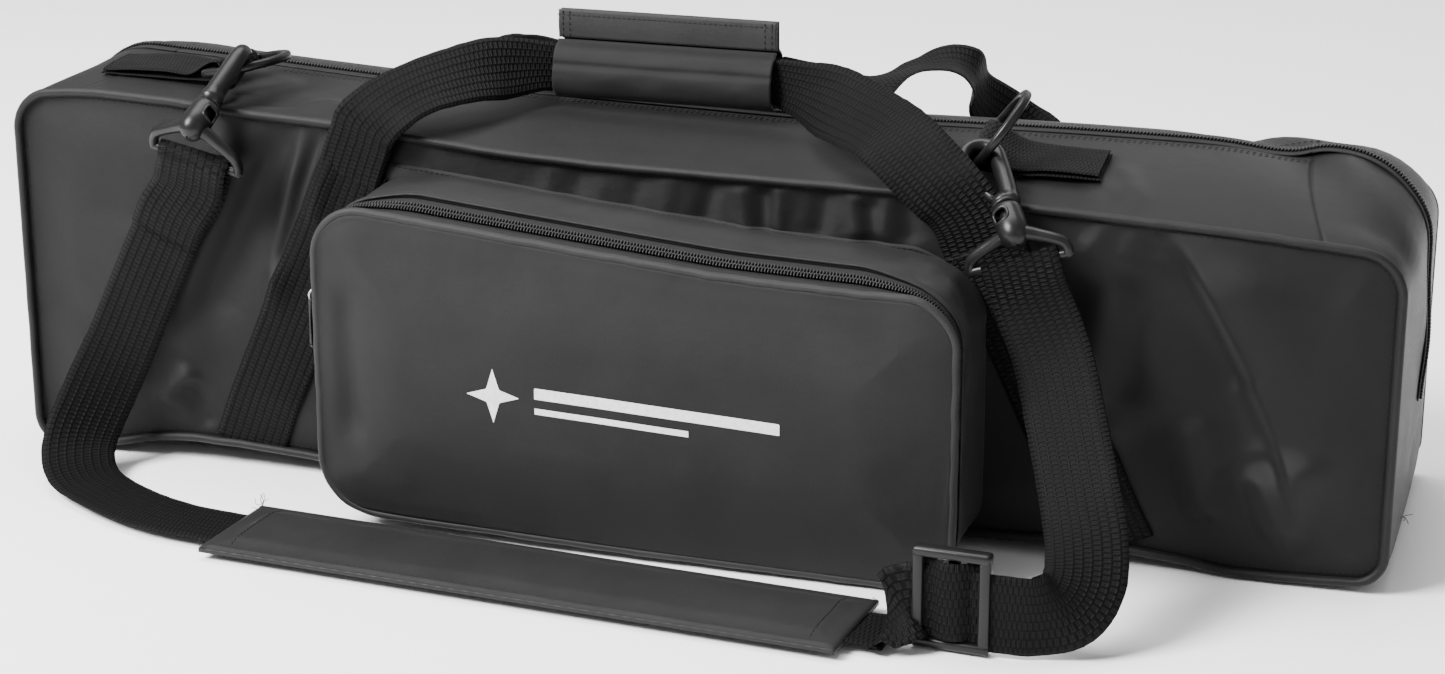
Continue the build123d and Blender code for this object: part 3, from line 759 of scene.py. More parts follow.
def front_y(x, z, back_side=False):
    """The front panel's surface. Folds follow the way the bag sags at the right and gathers at its seams."""
    x, z = np.broadcast_arrays(np.asarray(x, float), np.asarray(z, float))
    lo, hi = panel_edges(np.clip(x, -END, END), back_side)
    d = np.minimum(np.minimum(z - lo, hi - z), END - np.abs(x))
    k, near = ease(d / 34.0), ease(d / 7.0)
    out = 3.5 * k
    if back_side:
        out = out + k * (lump(x, z, -250, 150, -180, 40, 18, 2.6)
                         + lump(x, z, 210, 150, 280, 40, 20, 3.0, 0.5)
                         + lump(x, z, 60, 160, 20, 60, 16, 1.6) + rough(x, z, 46.0, 9.0, 1.6))
        return HALF + out
    folds = sum(lump(x, z, *fold) for fold in FOLDS)
    gather = 0
    for gx, gz, g, lean in GATHERS:
        gather = gather + lump(x, z, gx, gz + 9, gx - lean, gz - 14, 5.4, g * (0.35 if gx < 20 else 0.75))
    out = out + k * (folds * 1.15 + rough(x, z, 46.0, 2.0, 1.6)) + near * (gather + 0.25 * folds)
    return -HALF - out


ang = np.linspace(0, math.pi / 2, 9)[1:]
px = np.concatenate([-END + END_TOP_R * (1 - np.sin(ang[::-1])),
                     np.linspace(-END + END_TOP_R, END - END_TOP_R, 420),
                     END - END_TOP_R * (1 - np.sin(ang))])
px[0], px[-1] = -END + 0.02, END - 0.02
rows = np.linspace(0, 1, 110)
for name, node, bk in (("front_cloth", "front_panel", False), ("back_cloth", "back_panel", True)):
    lo, hi = panel_edges(px, bk)
    Z = lo[:, None] + (hi - lo)[:, None] * rows[None, :]
    X = np.broadcast_to(px[:, None], Z.shape)
    P = np.stack([X, front_y(X, Z, bk), Z], -1)
    grid(name, P, SHELL, "bag", node, (0, 1 if bk else -1, 0), 3.0, lining=LINING)


def panel_outline(inset=0.0, step=3.0, back_side=False):
    """The closed edge line of the front or back panel."""
    lo, hi = panel_edges(px, back_side)
    pts = np.vstack([np.stack([px, hi], -1), np.stack([px, lo], -1)[::-1]])
    pts = even(pts, step, True)
    if inset:
        t = tangents(np.hstack([pts, np.zeros((len(pts), 1))]), True)
        pts = pts + np.stack([-t[:, 1], t[:, 0]], -1) * -inset
    return pts


for name, node, y in (("front_piping_cord", "front_piping", -HALF - 1.7),
                      ("back_piping_cord", "back_piping", HALF + 1.7)):
    edge = panel_outline(1.6, 2.5, y > 0)
    wob = np.array([0.35 * wander(p[0] / 14.0, p[1] / 14.0, 3.0) for p in edge])
    P = np.stack([edge[:, 0], np.full(len(edge), y) + wob, edge[:, 1] + wob * 0.5], -1)
    tube(name, P, 2.15, PIPING, "bag", node, sides=12, first=(0, 1, 0))
inner = panel_outline(5.2, 3.0)
seam("front_panel_seam", [(np.stack([inner[:, 0], front_y(inner[:, 0], inner[:, 1]) - 0.05, inner[:, 1]],
                                    -1),
                           rows_of(FRONT, len(inner)))], "bag", size=0.8)


# ---------------------------------------------------------------- zips
def zip_teeth(name, line, side, normal, body, pitch=1.7, reach=2.7, replaces=(),
              phase=0.0):
    """One half of a coil zip: rounded loops that lie across the line on one side of it."""
    q = even(np.hstack([line, unit(side) * 10, unit(normal) * 10]), pitch)
    p, s, n = q[:, :3], unit(q[:, 3:6]), unit(q[:, 6:])
    t = tangents(p)
    V, F = rounded_box(0, 0, 0, reach * 1.15, pitch * 0.62, 1.5, 0.45, 2)
    places = [(p[i] + s[i] * (reach * 0.42) + t[i] * pitch * phase + n[i] * 0.7, s[i], t[i],
               np.cross(s[i], t[i]))
              for i in range(len(p))]
    return repeat(name, (V, F), places, COIL, body, replaces)


def zip_tape(name, line, side, normal, body, width, thick=0.7, replaces=(),
             start=0.6):
    q = even(np.hstack([line, unit(side) * 10, unit(normal) * 10]), 3.0)
    p, s, n = q[:, :3], unit(q[:, 3:6]), unit(q[:, 6:])
    k = np.linspace(start, width, 6)
    P = p[:, None] + s[:, None] * k[None, :, None] + n[:, None] * 0.15
    return grid(name, P, TAPE, body, replaces, n[len(n) // 2], thick)


top_line = top_run[i0:i1, mid]
up = rows_of(UP, len(top_line))
fwd, bwd = rows_of(FRONT, len(top_line)), rows_of(REAR, len(top_line))
zip_tape("main_zip_front_tape", top_line + up * 0.5, fwd, up, "bag", 8.0, replaces="main_zip_front")
zip_tape("main_zip_rear_tape", top_line + up * 0.5, bwd, up, "top_flap", 8.0, replaces="main_zip_rear")
zip_teeth("main_zip_front_coil", top_line + up * 0.5, fwd, up, "bag", phase=0.0)
zip_teeth("main_zip_rear_coil", top_line + up * 0.5, bwd, up, "top_flap", phase=0.5)
for name, line in (("right", ring[i1 - 1:N_TOP + END_STEPS, mid]),
                   ("left", np.concatenate([ring[-END_STEPS:, mid], ring[: i0 + 1, mid]]))):
    line = line[line[:, 2] > ZIP_LOW]
    t = tangents(line)
    nrm = np.cross(t, rows_of(FRONT, len(t)))
    if nrm[len(nrm) // 2][2] < 0 and abs(nrm[len(nrm) // 2][2]) > 0.3:
        nrm = -nrm
    sgn = 1 if name == "right" else -1
    if nrm[-1 if name == "right" else 0][0] * sgn < 0:
        nrm = -nrm
    line = line + nrm * 0.5
    f2, b2 = rows_of(FRONT, len(line)), rows_of(REAR, len(line))
    zip_tape(name + "_end_zip_front_tape", line, f2, nrm, "bag", 8.0, replaces=name + "_end_zip")
    zip_tape(name + "_end_zip_rear_tape", line, b2, nrm, "bag", 8.0)
    zip_teeth(name + "_end_zip_front_coil", line, f2, nrm, "bag")
    zip_teeth(name + "_end_zip_rear_coil", line, b2, nrm, "bag", phase=0.5)
jf = int(np.argmin(np.abs(ys + 14.0)))
jb = int(np.argmin(np.abs(ys - 14.0)))
up_n = rows_of(UP, i1 - i0)
seam("top_front_topstitch", [(top_run[i0:i1, jf], up_n), (top_run[i0:i1, jf] + (0, -3, 0), up_n)], "bag",
     size=0.8)
seam("top_rear_topstitch", [(top_run[i0:i1, jb], up_n)], "top_flap", size=0.8)


# ---------------------------------------------------------------- pocket
PX0, PX1, PR, PFY = -155.0, 157.0, 24.0, -148.0
pocket_hi = smooth_curve([(-155, 161), (-127, 159), (-53, 152), (47, 143), (110, 141), (157, 141)], 8.0)
pocket_lo = smooth_curve([(-155, 12), (-116, 9), (0, 6), (151, 4), (157, 4)], 8.0)


def pocket_edges(x, grow=0.0):
    r = PR
    d = np.clip(np.maximum(PX0 + r - x, x - (PX1 - r)), 0, r)
    drop = r - np.sqrt(np.maximum(r * r - d * d, 0))
    return pocket_lo(x) + drop - grow, pocket_hi(x) - drop + grow


pa = np.linspace(0, math.pi / 2, 12)[1:]
qx = np.concatenate([PX0 + PR * (1 - np.sin(pa[::-1])), np.linspace(PX0 + PR, PX1 - PR, 200),
                     PX1 - PR * (1 - np.sin(pa))])
qx[0], qx[-1] = PX0 + 0.01, PX1 - 0.01


def pocket_face_y(x, z):
    x, z = np.broadcast_arrays(np.asarray(x, float), np.asarray(z, float))
    lo, hi = pocket_edges(np.clip(x, PX0, PX1))
    d = np.minimum(np.minimum(z - lo, hi - z), np.minimum(x - PX0, PX1 - x))
    k = ease(d / 46.0)
    near = ease(d / 9.0)
    out = 5.5 * k + 0.9 * near
    out = out + ease(d / 20.0) * (lump(x, z, -141, 118, -138, 52, 7, -3.6, 1.3)
                                  + lump(x, z, -150, 30, -110, 24, 12, 1.0)
                                  + lump(x, z, 40, 40, 130, 20, 18, -1.2) + rough(x, z, 60.0, 5.0, 0.9))
    return PFY - out


lo, hi = pocket_edges(qx)
Zp = lo[:, None] + (hi - lo)[:, None] * np.linspace(0, 1, 96)[None, :]
Xp = np.broadcast_to(qx[:, None], Zp.shape)
face = grid("pocket_face", np.stack([Xp, pocket_face_y(Xp, Zp), Zp], -1), POCKET, None,
            ("pocket_flap_panel", "pocket_lower_panel"), (0, -1, 0), 2.2, lining=LINING)
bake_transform(face)


def pocket_line(grow=0.0, step=2.5):
    """The pocket's closed outline as (x, z), from the lower left up the left side, over and down."""
    lo, hi = pocket_edges(qx)
    pts = np.vstack([np.stack([qx, hi], -1), np.stack([qx, lo], -1)[::-1]])
    pts = even(pts, step, True)
    if grow:
        t = tangents(np.hstack([pts, np.zeros((len(pts), 1))]), True)
        pts = pts + np.stack([-t[:, 1], t[:, 0]], -1) * grow
    start = int(np.argmin(pts[:, 1] + np.abs(pts[:, 0]) * 0.001))
    return np.roll(pts, -start, 0)


def xyz(pts, y):
    return np.stack([pts[:, 0], np.broadcast_to(y, (len(pts),)), pts[:, 1]], -1)


pip = pocket_line(1.3)
wob = np.array([0.3 * wander(p[0] / 12.0, p[1] / 12.0, 8.0) for p in pip])
pp = tube("pocket_piping_cord", xyz(pip, -146.4) + np.stack([wob, wob, wob], -1), 2.1, POCKET_PIPING, None,
          ("pocket_flap_piping", "pocket_lower_piping"), sides=12, first=(0, 1, 0))
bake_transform(pp)


NPL = 300


def pocket_ring(grow):
    """The pocket's outline at NPL even steps, moved out by grow; used for every level of its side."""
    a = even(pocket_line(grow), 1.0, True)
    k = np.linspace(0, len(a) - 1, NPL)
    return np.stack([np.interp(k, np.arange(len(a)), a[:, j]) for j in (0, 1)], -1)


P_BASE = pocket_ring(0.0)
t_ = tangents(np.hstack([P_BASE, np.zeros((NPL, 1))]), True)
P_OUT = np.stack([-t_[:, 1], t_[:, 0]], -1)
LIP = (ease((P_BASE[:, 1] - (pocket_hi(P_BASE[:, 0]) - 26)) / 24.0) * ease((P_BASE[:, 0] + 150) / 46.0)
       * ease((153 - P_BASE[:, 0]) / 46.0))


def level(y, grow, lip):
    """One line round the pocket's side: y deep, grown out, and lifted along the top by lip."""
    p = P_BASE + P_OUT * grow
    p = p + np.stack([np.zeros(NPL), LIP * lip], -1)
    yy = y(p) if callable(y) else np.full(NPL, float(y))
    return np.stack([p[:, 0], yy, p[:, 1]], -1)


def side_strip(name, levels, n, material, replaces, body=None, thick=0.9, crumple=0.0, hollow=0.0):
    """Cloth round the pocket through the given levels."""
    L = np.array(levels)
    s_ = np.linspace(0, len(L) - 1, n)
    out3 = np.stack([P_OUT[:, 0], np.zeros(NPL), P_OUT[:, 1]], -1)
    P = np.zeros((NPL, n, 3))
    for i, f in enumerate(s_):
        k = min(int(f), len(L) - 2)
        P[:, i] = L[k] + (L[k + 1] - L[k]) * (f - k)
        g = f / (len(L) - 1)
        if crumple:
            corner = np.exp(-((P_BASE[:, 0] - 146) / 26.0) ** 2) * ease((P_BASE[:, 1] - 90) / 30.0)
            amp = math.sin(math.pi * g) * (crumple * 0.45 + crumple * 1.9 * corner)
            w = np.array([wander(p[0] / 17.0, p[1] / 17.0, g * 2.6) for p in P_BASE])
            w2 = np.array([wander(p[0] / 7.0, p[1] / 9.0, 5 + g * 1.2) for p in P_BASE])
            P[:, i] += out3 * (amp * (w + 0.5 * w2 * corner) - hollow * math.sin(math.pi * g))[:, None]
    top_i = int(np.argmin(np.abs(P_BASE[:, 0]) + 500 * (P_BASE[:, 1] < 80)))
    P = np.roll(P, NPL // 2 - top_i, 0)
    P = np.concatenate([P, P[:1]], 0)
    ob = grid(name, P, material, None, replaces, (0, 0, 1), thick)
    if body is None:
        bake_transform(ob)
    else:
        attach(ob, body)
    return ob


L_FRONT, L_CH0, L_CH1, L_TAPE, L_FOLD = (level(-146.6, 0.4, 0.0), level(-142.4, 0.9, 3.6),
                                         level(-138.2, 1.0, 6.6),
                                         level(-135.0, 0.9, 8.2), level(-133.4, 1.6, 8.8))
root = level(lambda p: front_y(p[:, 0], p[:, 1]) + 1.5, 2.0, 5.0)
side_strip("pocket_gusset_cloth", [L_FOLD, level(-112, 2.0, 7.4), root], 18, POCKET,
           "pocket_gusset", "bag", 1.6, 2.4, 1.0)
side_strip("pocket_zip_back_tape", [L_CH1, L_TAPE, level(-131, 0.4, 7.6)], 7, TAPE,
           "pocket_zip_rear_tape", "bag")
side_strip("pocket_zip_face_tape", [L_FRONT, L_CH0], 6, TAPE,
           ("pocket_zip_front_tape", "pocket_lower_gusset"))
side_strip("pocket_gusset_hem", [level(-134.2, 2.0, 9.2), level(-129.5, 2.3, 8.9)], 4, POCKET,
           (), "bag")


def chain_line(a, b, front):
    """Centre, side and normal of one half of the pocket's zip, above the flap's fold."""
    m = (a + b) / 2
    side_ = unit(a - b) if front else unit(b - a)
    t = tangents(m, True)
    n_ = unit(np.cross(t, side_))
    out3 = np.stack([P_OUT[:, 0], np.full(NPL, -0.4), P_OUT[:, 1]], -1)
    n_ = np.where((np.sum(n_ * out3, axis=1) < 0)[:, None], -n_, n_)
    keep = m[:, 2] > 74.0
    k0 = int(np.argmax(~keep))
    order = [(k0 + i) % NPL for i in range(NPL) if keep[(k0 + i) % NPL]]
    return m[order], side_[order], n_[order]


for front, nm in ((True, "pocket_zip_face_coil"), (False, "pocket_zip_back_coil")):
    c_, s_, n_ = chain_line(L_CH0, L_CH1, front)
    ob = zip_teeth(nm, c_, s_, n_, None, pitch=1.55, reach=2.5, phase=0.5 * front)
    if front:
        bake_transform(ob)
    else:
        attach(ob, "bag")

# the welt on the panel above the pocket, with two rows of stitches
hx = np.linspace(-146, 156, 160)
hem_lo, hem_hi = 1.0, 10.5
hz = pocket_hi(hx) - 2 + 1.5 * ease((hx - 120) / 30) * -6
H = np.zeros((len(hx), 7, 3))
for i, f in enumerate(np.linspace(0, 1, 7)):
    z = hz + hem_lo + (hem_hi - hem_lo) * f
    H[:, i] = np.stack([hx, front_y(hx, z) - 0.7 + 0.35 * abs(2 * f - 1) ** 3, z], -1)
grid("pocket_welt", H, POCKET, "bag", (), (0, -1, 0), 0.9)
rows_ = []
for dz in (3.0, 9.0):
    z = hz + dz
    rows_.append((np.stack([hx, front_y(hx, z) - 0.85, z], -1), rows_of(FRONT, len(hx))))
seam("pocket_welt_stitches", rows_, "bag", pitch=2.8, size=0.85)


# ---------------------------------------------------------------- printed mark, a plain star and two bars
def mark_shape(outline_pts):
    """A filled outline laid on the pocket's face as a fine fan of triangles."""
    o = even(np.array(outline_pts, float), 1.0, True)
    c = o.mean(0)
    ringsn = 7
    V = np.vstack([np.array([c])] + [c + (o - c) * ((i + 1) / ringsn) for i in range(ringsn)])
    m = len(o)
    F = [[0, 1 + i, 1 + (i + 1) % m] for i in range(m)]
    for k in range(ringsn - 1):
        a, b = 1 + k * m, 1 + (k + 1) * m
        F += [[a + i, b + i, b + (i + 1) % m, a + (i + 1) % m] for i in range(m)]
    P = np.stack([V[:, 0], pocket_face_y(V[:, 0], V[:, 1]) - 0.22, V[:, 1]], -1)
    n0 = np.cross(P[F[0][1]] - P[F[0][0]], P[F[0][2]] - P[F[0][0]])
    return P, (F if n0[1] < 0 else [f[::-1] for f in F])


def bar(x0, x1, z0, z1, slope=-0.045):
    zz = lambda x, z: z + slope * (x - x0)
    return [(x0, zz(x0, z0)), (x1, zz(x1, z0)), (x1, zz(x1, z1)), (x0, zz(x0, z1))]


star = []
for i in range(8):
    a = math.pi / 2 + i * math.pi / 4
    rr = 13.5 if i % 2 == 0 else 4.6
    star.append((-63 + rr * math.cos(a), 78.5 + rr * math.sin(a)))
marks = [mark_shape(star), mark_shape(bar(-42, 78, 79.0, 84.5)), mark_shape(bar(-42, 34, 71.5, 74.5))]
mk = pieces_mesh("printed_mark", marks, INK)
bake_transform(mk)


# ---------------------------------------------------------------- sliders and pulls
def pull_plate(cx, cy, z0, z1, width, thick):
    """A tapered pull tab with a rounded end."""
    n = 26
    s = np.linspace(0, 1, n)
    z = z1 + (z0 - z1) * s
    tip = 1 - np.clip((s - 0.86) / 0.14, 0, 1) ** 2
    w = (width / 2) * (0.72 + 0.28 * ease(s * 2.2)) * np.sqrt(np.clip(tip, 0.02, 1))
    th = thick / 2 * (1 + 0.25 * np.cos(s * 2 * math.pi))
    prof = np.array([(math.copysign(abs(math.cos(a)) ** 0.6, math.cos(a)),
                      math.copysign(abs(math.sin(a)) ** 0.6, math.sin(a)))
                     for a in np.linspace(0, 2 * math.pi, 16, endpoint=False)])
    P = np.zeros((n, 16, 3))
    P[..., 0] = cx + prof[None, :, 1] * th[:, None]
    P[..., 1] = cy + prof[None, :, 0] * w[:, None]
    P[..., 2] = z[:, None]
    V = P.reshape(-1, 3)
    return V, closed_ends(n, 16)


def slider(name, x, y, z, scale, body, pull_body, nodes, pull_range):
    """The zip's slider on a left end, and its pull hanging below it."""
    k = scale
    boxes = ((1.0, 0, 1.6, 9.0, 11.5, 0.7), (3.4, -0.5, 1.5, 8.2, 10.5, 0.7),
             (2.2, 4.2, 2.6, 3.0, 2.6, 0.6),
             (5.6, 0, 1.2, 2.4, 9.0, 0.5), (4.6, 4.0, 2.4, 2.4, 1.6, 0.5), (4.6, -4.0, 2.4, 2.4, 1.6, 0.5))
    parts = [rounded_box(x - dx * k, y, z + dz * k, sx * k, sy * k, sz * k, r * k)
             for dx, dz, sx, sy, sz, r in boxes]
    pieces_mesh(name + "_body", parts, SLIDER, body, nodes[0])
    z0, z1, px_, w = pull_range
    turn = np.linspace(0, 2 * math.pi, 22, endpoint=False)
    loop = [(px_ + (x - 5.0 * k - px_) * max(0, math.cos(a)) ** 1.5, y + w * 0.42 * math.sin(a),
             z1 - 1 + 3.6 * k * math.cos(a)) for a in turn]
    tube(name + "_pull_loop", np.array(loop), 0.75 * k, SLIDER, pull_body, sides=8)
    pieces_mesh(name + "_pull_tab", [pull_plate(px_, y, z0, z1 - 3.0 * k, w, 2.0 * k)], PULL, pull_body,
                nodes[1])


slider("main_zip", -350.6, 0.0, 103.0, 1.15, "main_slider", "main_pull",
       ("main_zip_slider", "main_zip_pull"),
       (62.0, 95.0, -361.0, 8.0))
slider("pocket_zip", -155.4, -136.0, 122.5, 0.95, "pocket_slider", "pocket_pull",
       ("pocket_zip_slider", "pocket_zip_pull"),
       (87.0, 116.0, -163.4, 6.6))


# ---------------------------------------------------------------- handles
def seam_h(x):
    return float(seam_z(x))


def back_h(x):
    return float(back_seam_z(x))


def band(name, side, d, node):
    """A handle band sewn flat on a panel, leaning in towards the top."""
    cx = -2.0
    lo_x, hi_x = cx + side * 226.0, cx + side * 158.0
    top_z_ = (seam_h(hi_x) if d < 0 else back_h(hi_x)) - 20.0
    n = 70
    t = np.linspace(0, 1, n)
    xc = lo_x + (hi_x - lo_x) * t
    zc = 9.0 + (top_z_ - 9.0) * t
    along = unit(np.array([hi_x - lo_x, top_z_ - 9.0]))
    across = np.array([along[1], -along[0]])
    u = np.linspace(-19, 19, 17)
    X = xc[:, None] + across[0] * u[None, :]
    Z = zc[:, None] + across[1] * u[None, :]
    lo, _ = panel_edges(X)
    Z = np.maximum(Z, lo + 1.0)
    crown = 1.6 - 0.5 * np.abs(u / 19) ** 6
    Y = front_y(X, Z) - crown if d < 0 else front_y(X, Z, True) + crown
    P = np.stack([X, Y, Z], -1)
    W = np.zeros(P.shape)
    W[..., 0] = u[None, :] * MM
    W[..., 1] = (t * np.linalg.norm([hi_x - lo_x, top_z_ - 9.0]))[:, None] * MM
    grid(name, P, WEBBING, "bag", node, (0, d, 0), 1.3, weave=W)
    lines = []
    for e_ in (-16.5, 16.5):
        j = int(np.argmin(np.abs(u - e_)))
        lines.append((P[2:, j] + (0, d * 0.1, 0), np.tile((0.0, float(d), 0.0), (n - 2, 1))))
    seam(name + "_stitches", lines, "bag", pitch=3.4, size=0.8)


for s, nm in ((-1, "left"), (1, "right")):
    band("front_%s_band_webbing" % nm, s, -1, "front_%s_band" % nm)
    band("back_%s_band_webbing" % nm, s, 1, "back_%s_band" % nm)

GX0, GX1, GM = -76.0, 37.0, -21.0
LEAN = 0.46
fl = [((-164, -87.2, seam_h(-164) - 26), (1, 0, -LEAN)), ((-157, -88.5, seam_h(-157) - 8), (1, 0, -LEAN)),
      ((-150, -91.5, seam_h(-150) + 5), (1, -0.1, -0.42)), ((-134, -80, 203), (0.82, -0.35, -0.5)),
      ((-112, -55, 209), (0.5, -0.5, -0.7)), ((-92, -34, 209), (0.2, -0.3, -0.93)),
      ((-72, -25, 208.4), (0, 0, -1)),
      ((-50, -25, 208), (0, 0, -1))]
fr = [((156, -87.2, seam_h(156) - 24), (1, 0, LEAN)), ((149, -88.5, seam_h(149) - 8), (1, 0, LEAN)),
      ((137, -90, seam_h(137) + 5), (1, 0.05, 0.42)), ((110, -78, 199), (0.82, 0.3, 0.5)),
      ((86, -56, 203), (0.5, 0.5, 0.7)),
      ((60, -36, 206), (0.2, 0.3, 0.93)), ((36, -25.5, 208), (0, 0, 1)), ((16, -25, 208), (0, 0, 1))]
rl = [((-164, 87.4, back_h(-164) - 26), (1, 0, -LEAN)), ((-158, 90.5, back_h(-158) - 8), (1, 0, -LEAN)),
      ((-150, 92.5, back_h(-150) + 8), (0.95, 0.25, -0.35)), ((-137, 74, 191), (0.6, 0.7, -0.35)),
      ((-118, 38, 202.5), (0.2, 0.92, -0.3)), ((-96, 8, 205.5), (0.05, 0.75, -0.65)),
      ((-74, -16.2, 208.2), (0, 0, -1)),
      ((-50, -17, 208), (0, 0, -1))]
rr = [((156, 87.4, back_h(156) - 26), (1, 0, LEAN)), ((149, 90.5, back_h(149) - 8), (1, 0, 0.4)),
      ((131, 91.5, back_h(131) + 6), (0.6, 0.75, 0.3)), ((119, 76, 182), (0.12, 0.98, 0.15)),
      ((117, 58, 199), (0.04, 1, 0.05)),
      ((108, 45, 207), (0.02, 1, 0.02)), ((94, 32, 207), (0, 1, 0.03)), ((76, 16, 200), (0.02, 0.97, 0.2)),
      ((56, -2, 200), (0.05, 0.7, 0.6)), ((36, -15.6, 207.4), (0, 0.05, 1)), ((16, -17, 208), (0, 0, 1))]
for run, nm, wd in ((fl, "front_left", 34.0), (fr, "front_right", 37.0), (rl, "rear_left", 32.0),
                    (rr, "rear_right", 34.0)):

    def pinch(P, run=run, wd=wd):
        """The web folds in on itself to go into the grip."""
        c = P.mean(axis=1, keepdims=True)
        d = np.linalg.norm(P[:, :1].mean(1) - np.array(run[-2][0]), axis=1)
        k = 1 - (1 - 21.0 / wd) * ease((46 - d) / 40.0)
        k[np.argmin(d):] = 21.0 / wd
        return c + (P - c) * k[:, None, None]

    ob = web(nm + "_leg_webbing", run, wd, 1.5, None, None, "webbing", nm + "_handle_leg", wave=0.6,
             seed=len(nm), cut=pinch)
    a = np.array(run[2][0]) * MM
    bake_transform(ob)
web("front_grip_web", [((-77.5, GM - 4, 208), (0, 0, -1)), ((-20, GM - 4, 208), (0, 0, -1)),
                       ((38.5, GM - 4, 208), (0, 0, -1))],
    21.0, 2.4, None, "carry_handle", "webbing", "front_handle_web", wave=0.1)
web("rear_grip_web", [((-77.5, GM + 4, 208), (0, 0, -1)), ((-20, GM + 4, 208), (0, 0, -1)),
                      ((38.5, GM + 4, 208), (0, 0, -1))],
    21.0, 2.4, None, "carry_handle", "webbing", "rear_handle_web", wave=0.1)

# the grip's wrap: a stuffed lower roll that closes into a flat flange with two plies
gxs = np.linspace(GX0, GX1, 96)


def grip_section(x):
    """Half profile points (y, z) of the wrap, from the flange's foot at the front, under, to the rear."""
    lean_ = 0.4 * wander(x / 22.0, 0.0, 1.0)
    pts = [(-1.9, 221.7), (-3.6, 220.0), (-7.2, 218.2), (-9.6, 215.4), (-10.9, 212.4), (-12.2, 208.0),
           (-12.4, 203), (-10.6, 198), (-7.0, 195.2),
           (-2.0, 194.2), (3.0, 194.4), (8.0, 195.8), (11.2, 199), (12.0, 204), (11.6, 210), (10.2, 215.4),
           (7.4, 219.6), (3.8, 221.8),
           (2.6, 224), (2.4, 228), (2.3, 232), (2.2, 236.8)]
    q = catmull(pts, 4)
    puff = 0.7 * np.array([wander(x / 18.0, a / 7.0, b / 9.0) for a, b in q])
    tight = 1 - 0.05 * ease((abs(x - (GX0 + GX1) / 2) - 44) / 12)
    q = np.stack([q[:, 0] * tight + np.sign(q[:, 0]) * puff * (q[:, 1] < 218) + GM + lean_
                  * (q[:, 1] > 200), q[:, 1]], -1)
    # a line of stitches pulls the two plies together under the bulge
    pull_in = np.exp(-((q[:, 1] - 211.0) / 1.3) ** 2) * 0.9
    q[:, 0] -= np.sign(q[:, 0] - GM) * pull_in
    return q


G = np.array([np.column_stack([np.full(len(grip_section(x)), x), grip_section(x)]) for x in gxs])
grid("grip_wrap_cloth", G, GRIP, "carry_handle", "grip_wrap", (0, -1, 0), 1.0, lining=LINING)
fz = np.linspace(222.9, 237.0, 12)
FL = np.zeros((len(gxs), len(fz), 3))
for i, x in enumerate(gxs):
    wv = 0.35 * wander(x / 16.0, 2.0, 0.0)
    FL[i] = np.stack([np.full(len(fz), x), GM - 1.6 - 0.5 * np.sin(np.linspace(0, math.pi, len(fz))) + wv
                      * np.linspace(0, 1, len(fz)), fz], -1)
grid("grip_flap_cloth", FL, GRIP, "grip_flap", "grip_flap", (0, -1, 0), 1.1)
fn = lambda n_: rows_of(FRONT, n_)
j_mid = int(np.argmin(np.abs(G[0, :40, 2] - 211.0)))
lines = [(G[:, j_mid] + (0, -0.1, 0), fn(len(gxs)))]
for xi in (2, 5, len(gxs) - 6, len(gxs) - 3):
    ln = G[xi, 2:44]
    t = tangents(ln)
    lines.append((ln, unit(np.cross(np.tile((1.0, 0, 0), (len(t), 1)), t))))
seam("grip_stitches", lines, "carry_handle", pitch=2.6, size=0.8)
flap_lines = [(FL[:, 9] + (0, -0.15, 0), fn(len(gxs)))]
for xi in (2, 5, len(gxs) - 6, len(gxs) - 3):
    flap_lines.append((FL[xi, 1:-1] + (0, -0.15, 0), fn(len(fz) - 2)))
seam("grip_flap_stitches", flap_lines, "grip_flap", pitch=2.6, size=0.8)


# ---------------------------------------------------------------- rings and their tabs
def ring_piece(name, centre, along, apex, body, node, half=21.0, reach=31.0, r=2.4):
    c, b, a = np.array(centre), unit(along), np.array(apex, float)
    a = unit(a - b * np.dot(a, b))
    pts = [c + b * (half - 2) * f for f in np.linspace(-1, 1, 12)]
    th = np.linspace(0, math.pi, 40)
    arc = [c + a * (reach - half + half * math.sin(t)) + b * (half * math.cos(t)) for t in th]
    lead = [c + b * (half - 0.6) + a * 0.6, c + b * half + a * 2.4, c + b * half + a * 6]
    tail = [c - b * half + a * 6, c - b * half + a * 2.4, c - b * (half - 0.6) + a * 0.6]
    P = even(np.vstack([pts, lead, arc, tail]), 1.6, True)
    n0 = np.cross(a, b)
    t = tangents(P, True)
    inw = np.cross(np.tile(n0, (len(t), 1)), t)
    k = 20
    ang_ = np.linspace(0, 2 * math.pi, k, endpoint=False)
    # flattened, bevelled section
    ca, sa = np.cos(ang_), np.sin(ang_)
    sq = 0.72
    sx, sy = np.sign(ca) * np.abs(ca) ** sq, np.sign(sa) * np.abs(sa) ** sq
    V = (P[:, None] + inw[:, None] * (sx * r)[None, :, None]
         + n0[None, None] * (sy * r * 0.92)[None, :, None])
    F = quads(len(P), k, True, True)
    V2 = V.reshape(-1, 3)
    vol = 0
    for f in F[:: max(1, len(F) // 400)]:
        p0, p1, p2 = V2[f[0]], V2[f[1]], V2[f[2]]
        mid_ = P[(f[0] // k)]
        vol += np.dot(np.cross(p1 - p0, p2 - p0), p0 - mid_)
    return mesh(name, V2, F if vol > 0 else F[:, ::-1], PLASTIC, body, node)


LR = ((-246.0, -45.0, 201.5), (0.25, 0.97, 0.02), (0.86, -0.22, 0.20))
RR = ((148.7, -50.2, 191.6), (0.05, 0.96, 0.26), (0.60, -0.19, 0.77))
ring_piece("left_ring_moulding", *LR, "left_ring", "left_d_ring")
ring_piece("right_ring_moulding", *RR, "right_ring", "right_d_ring")


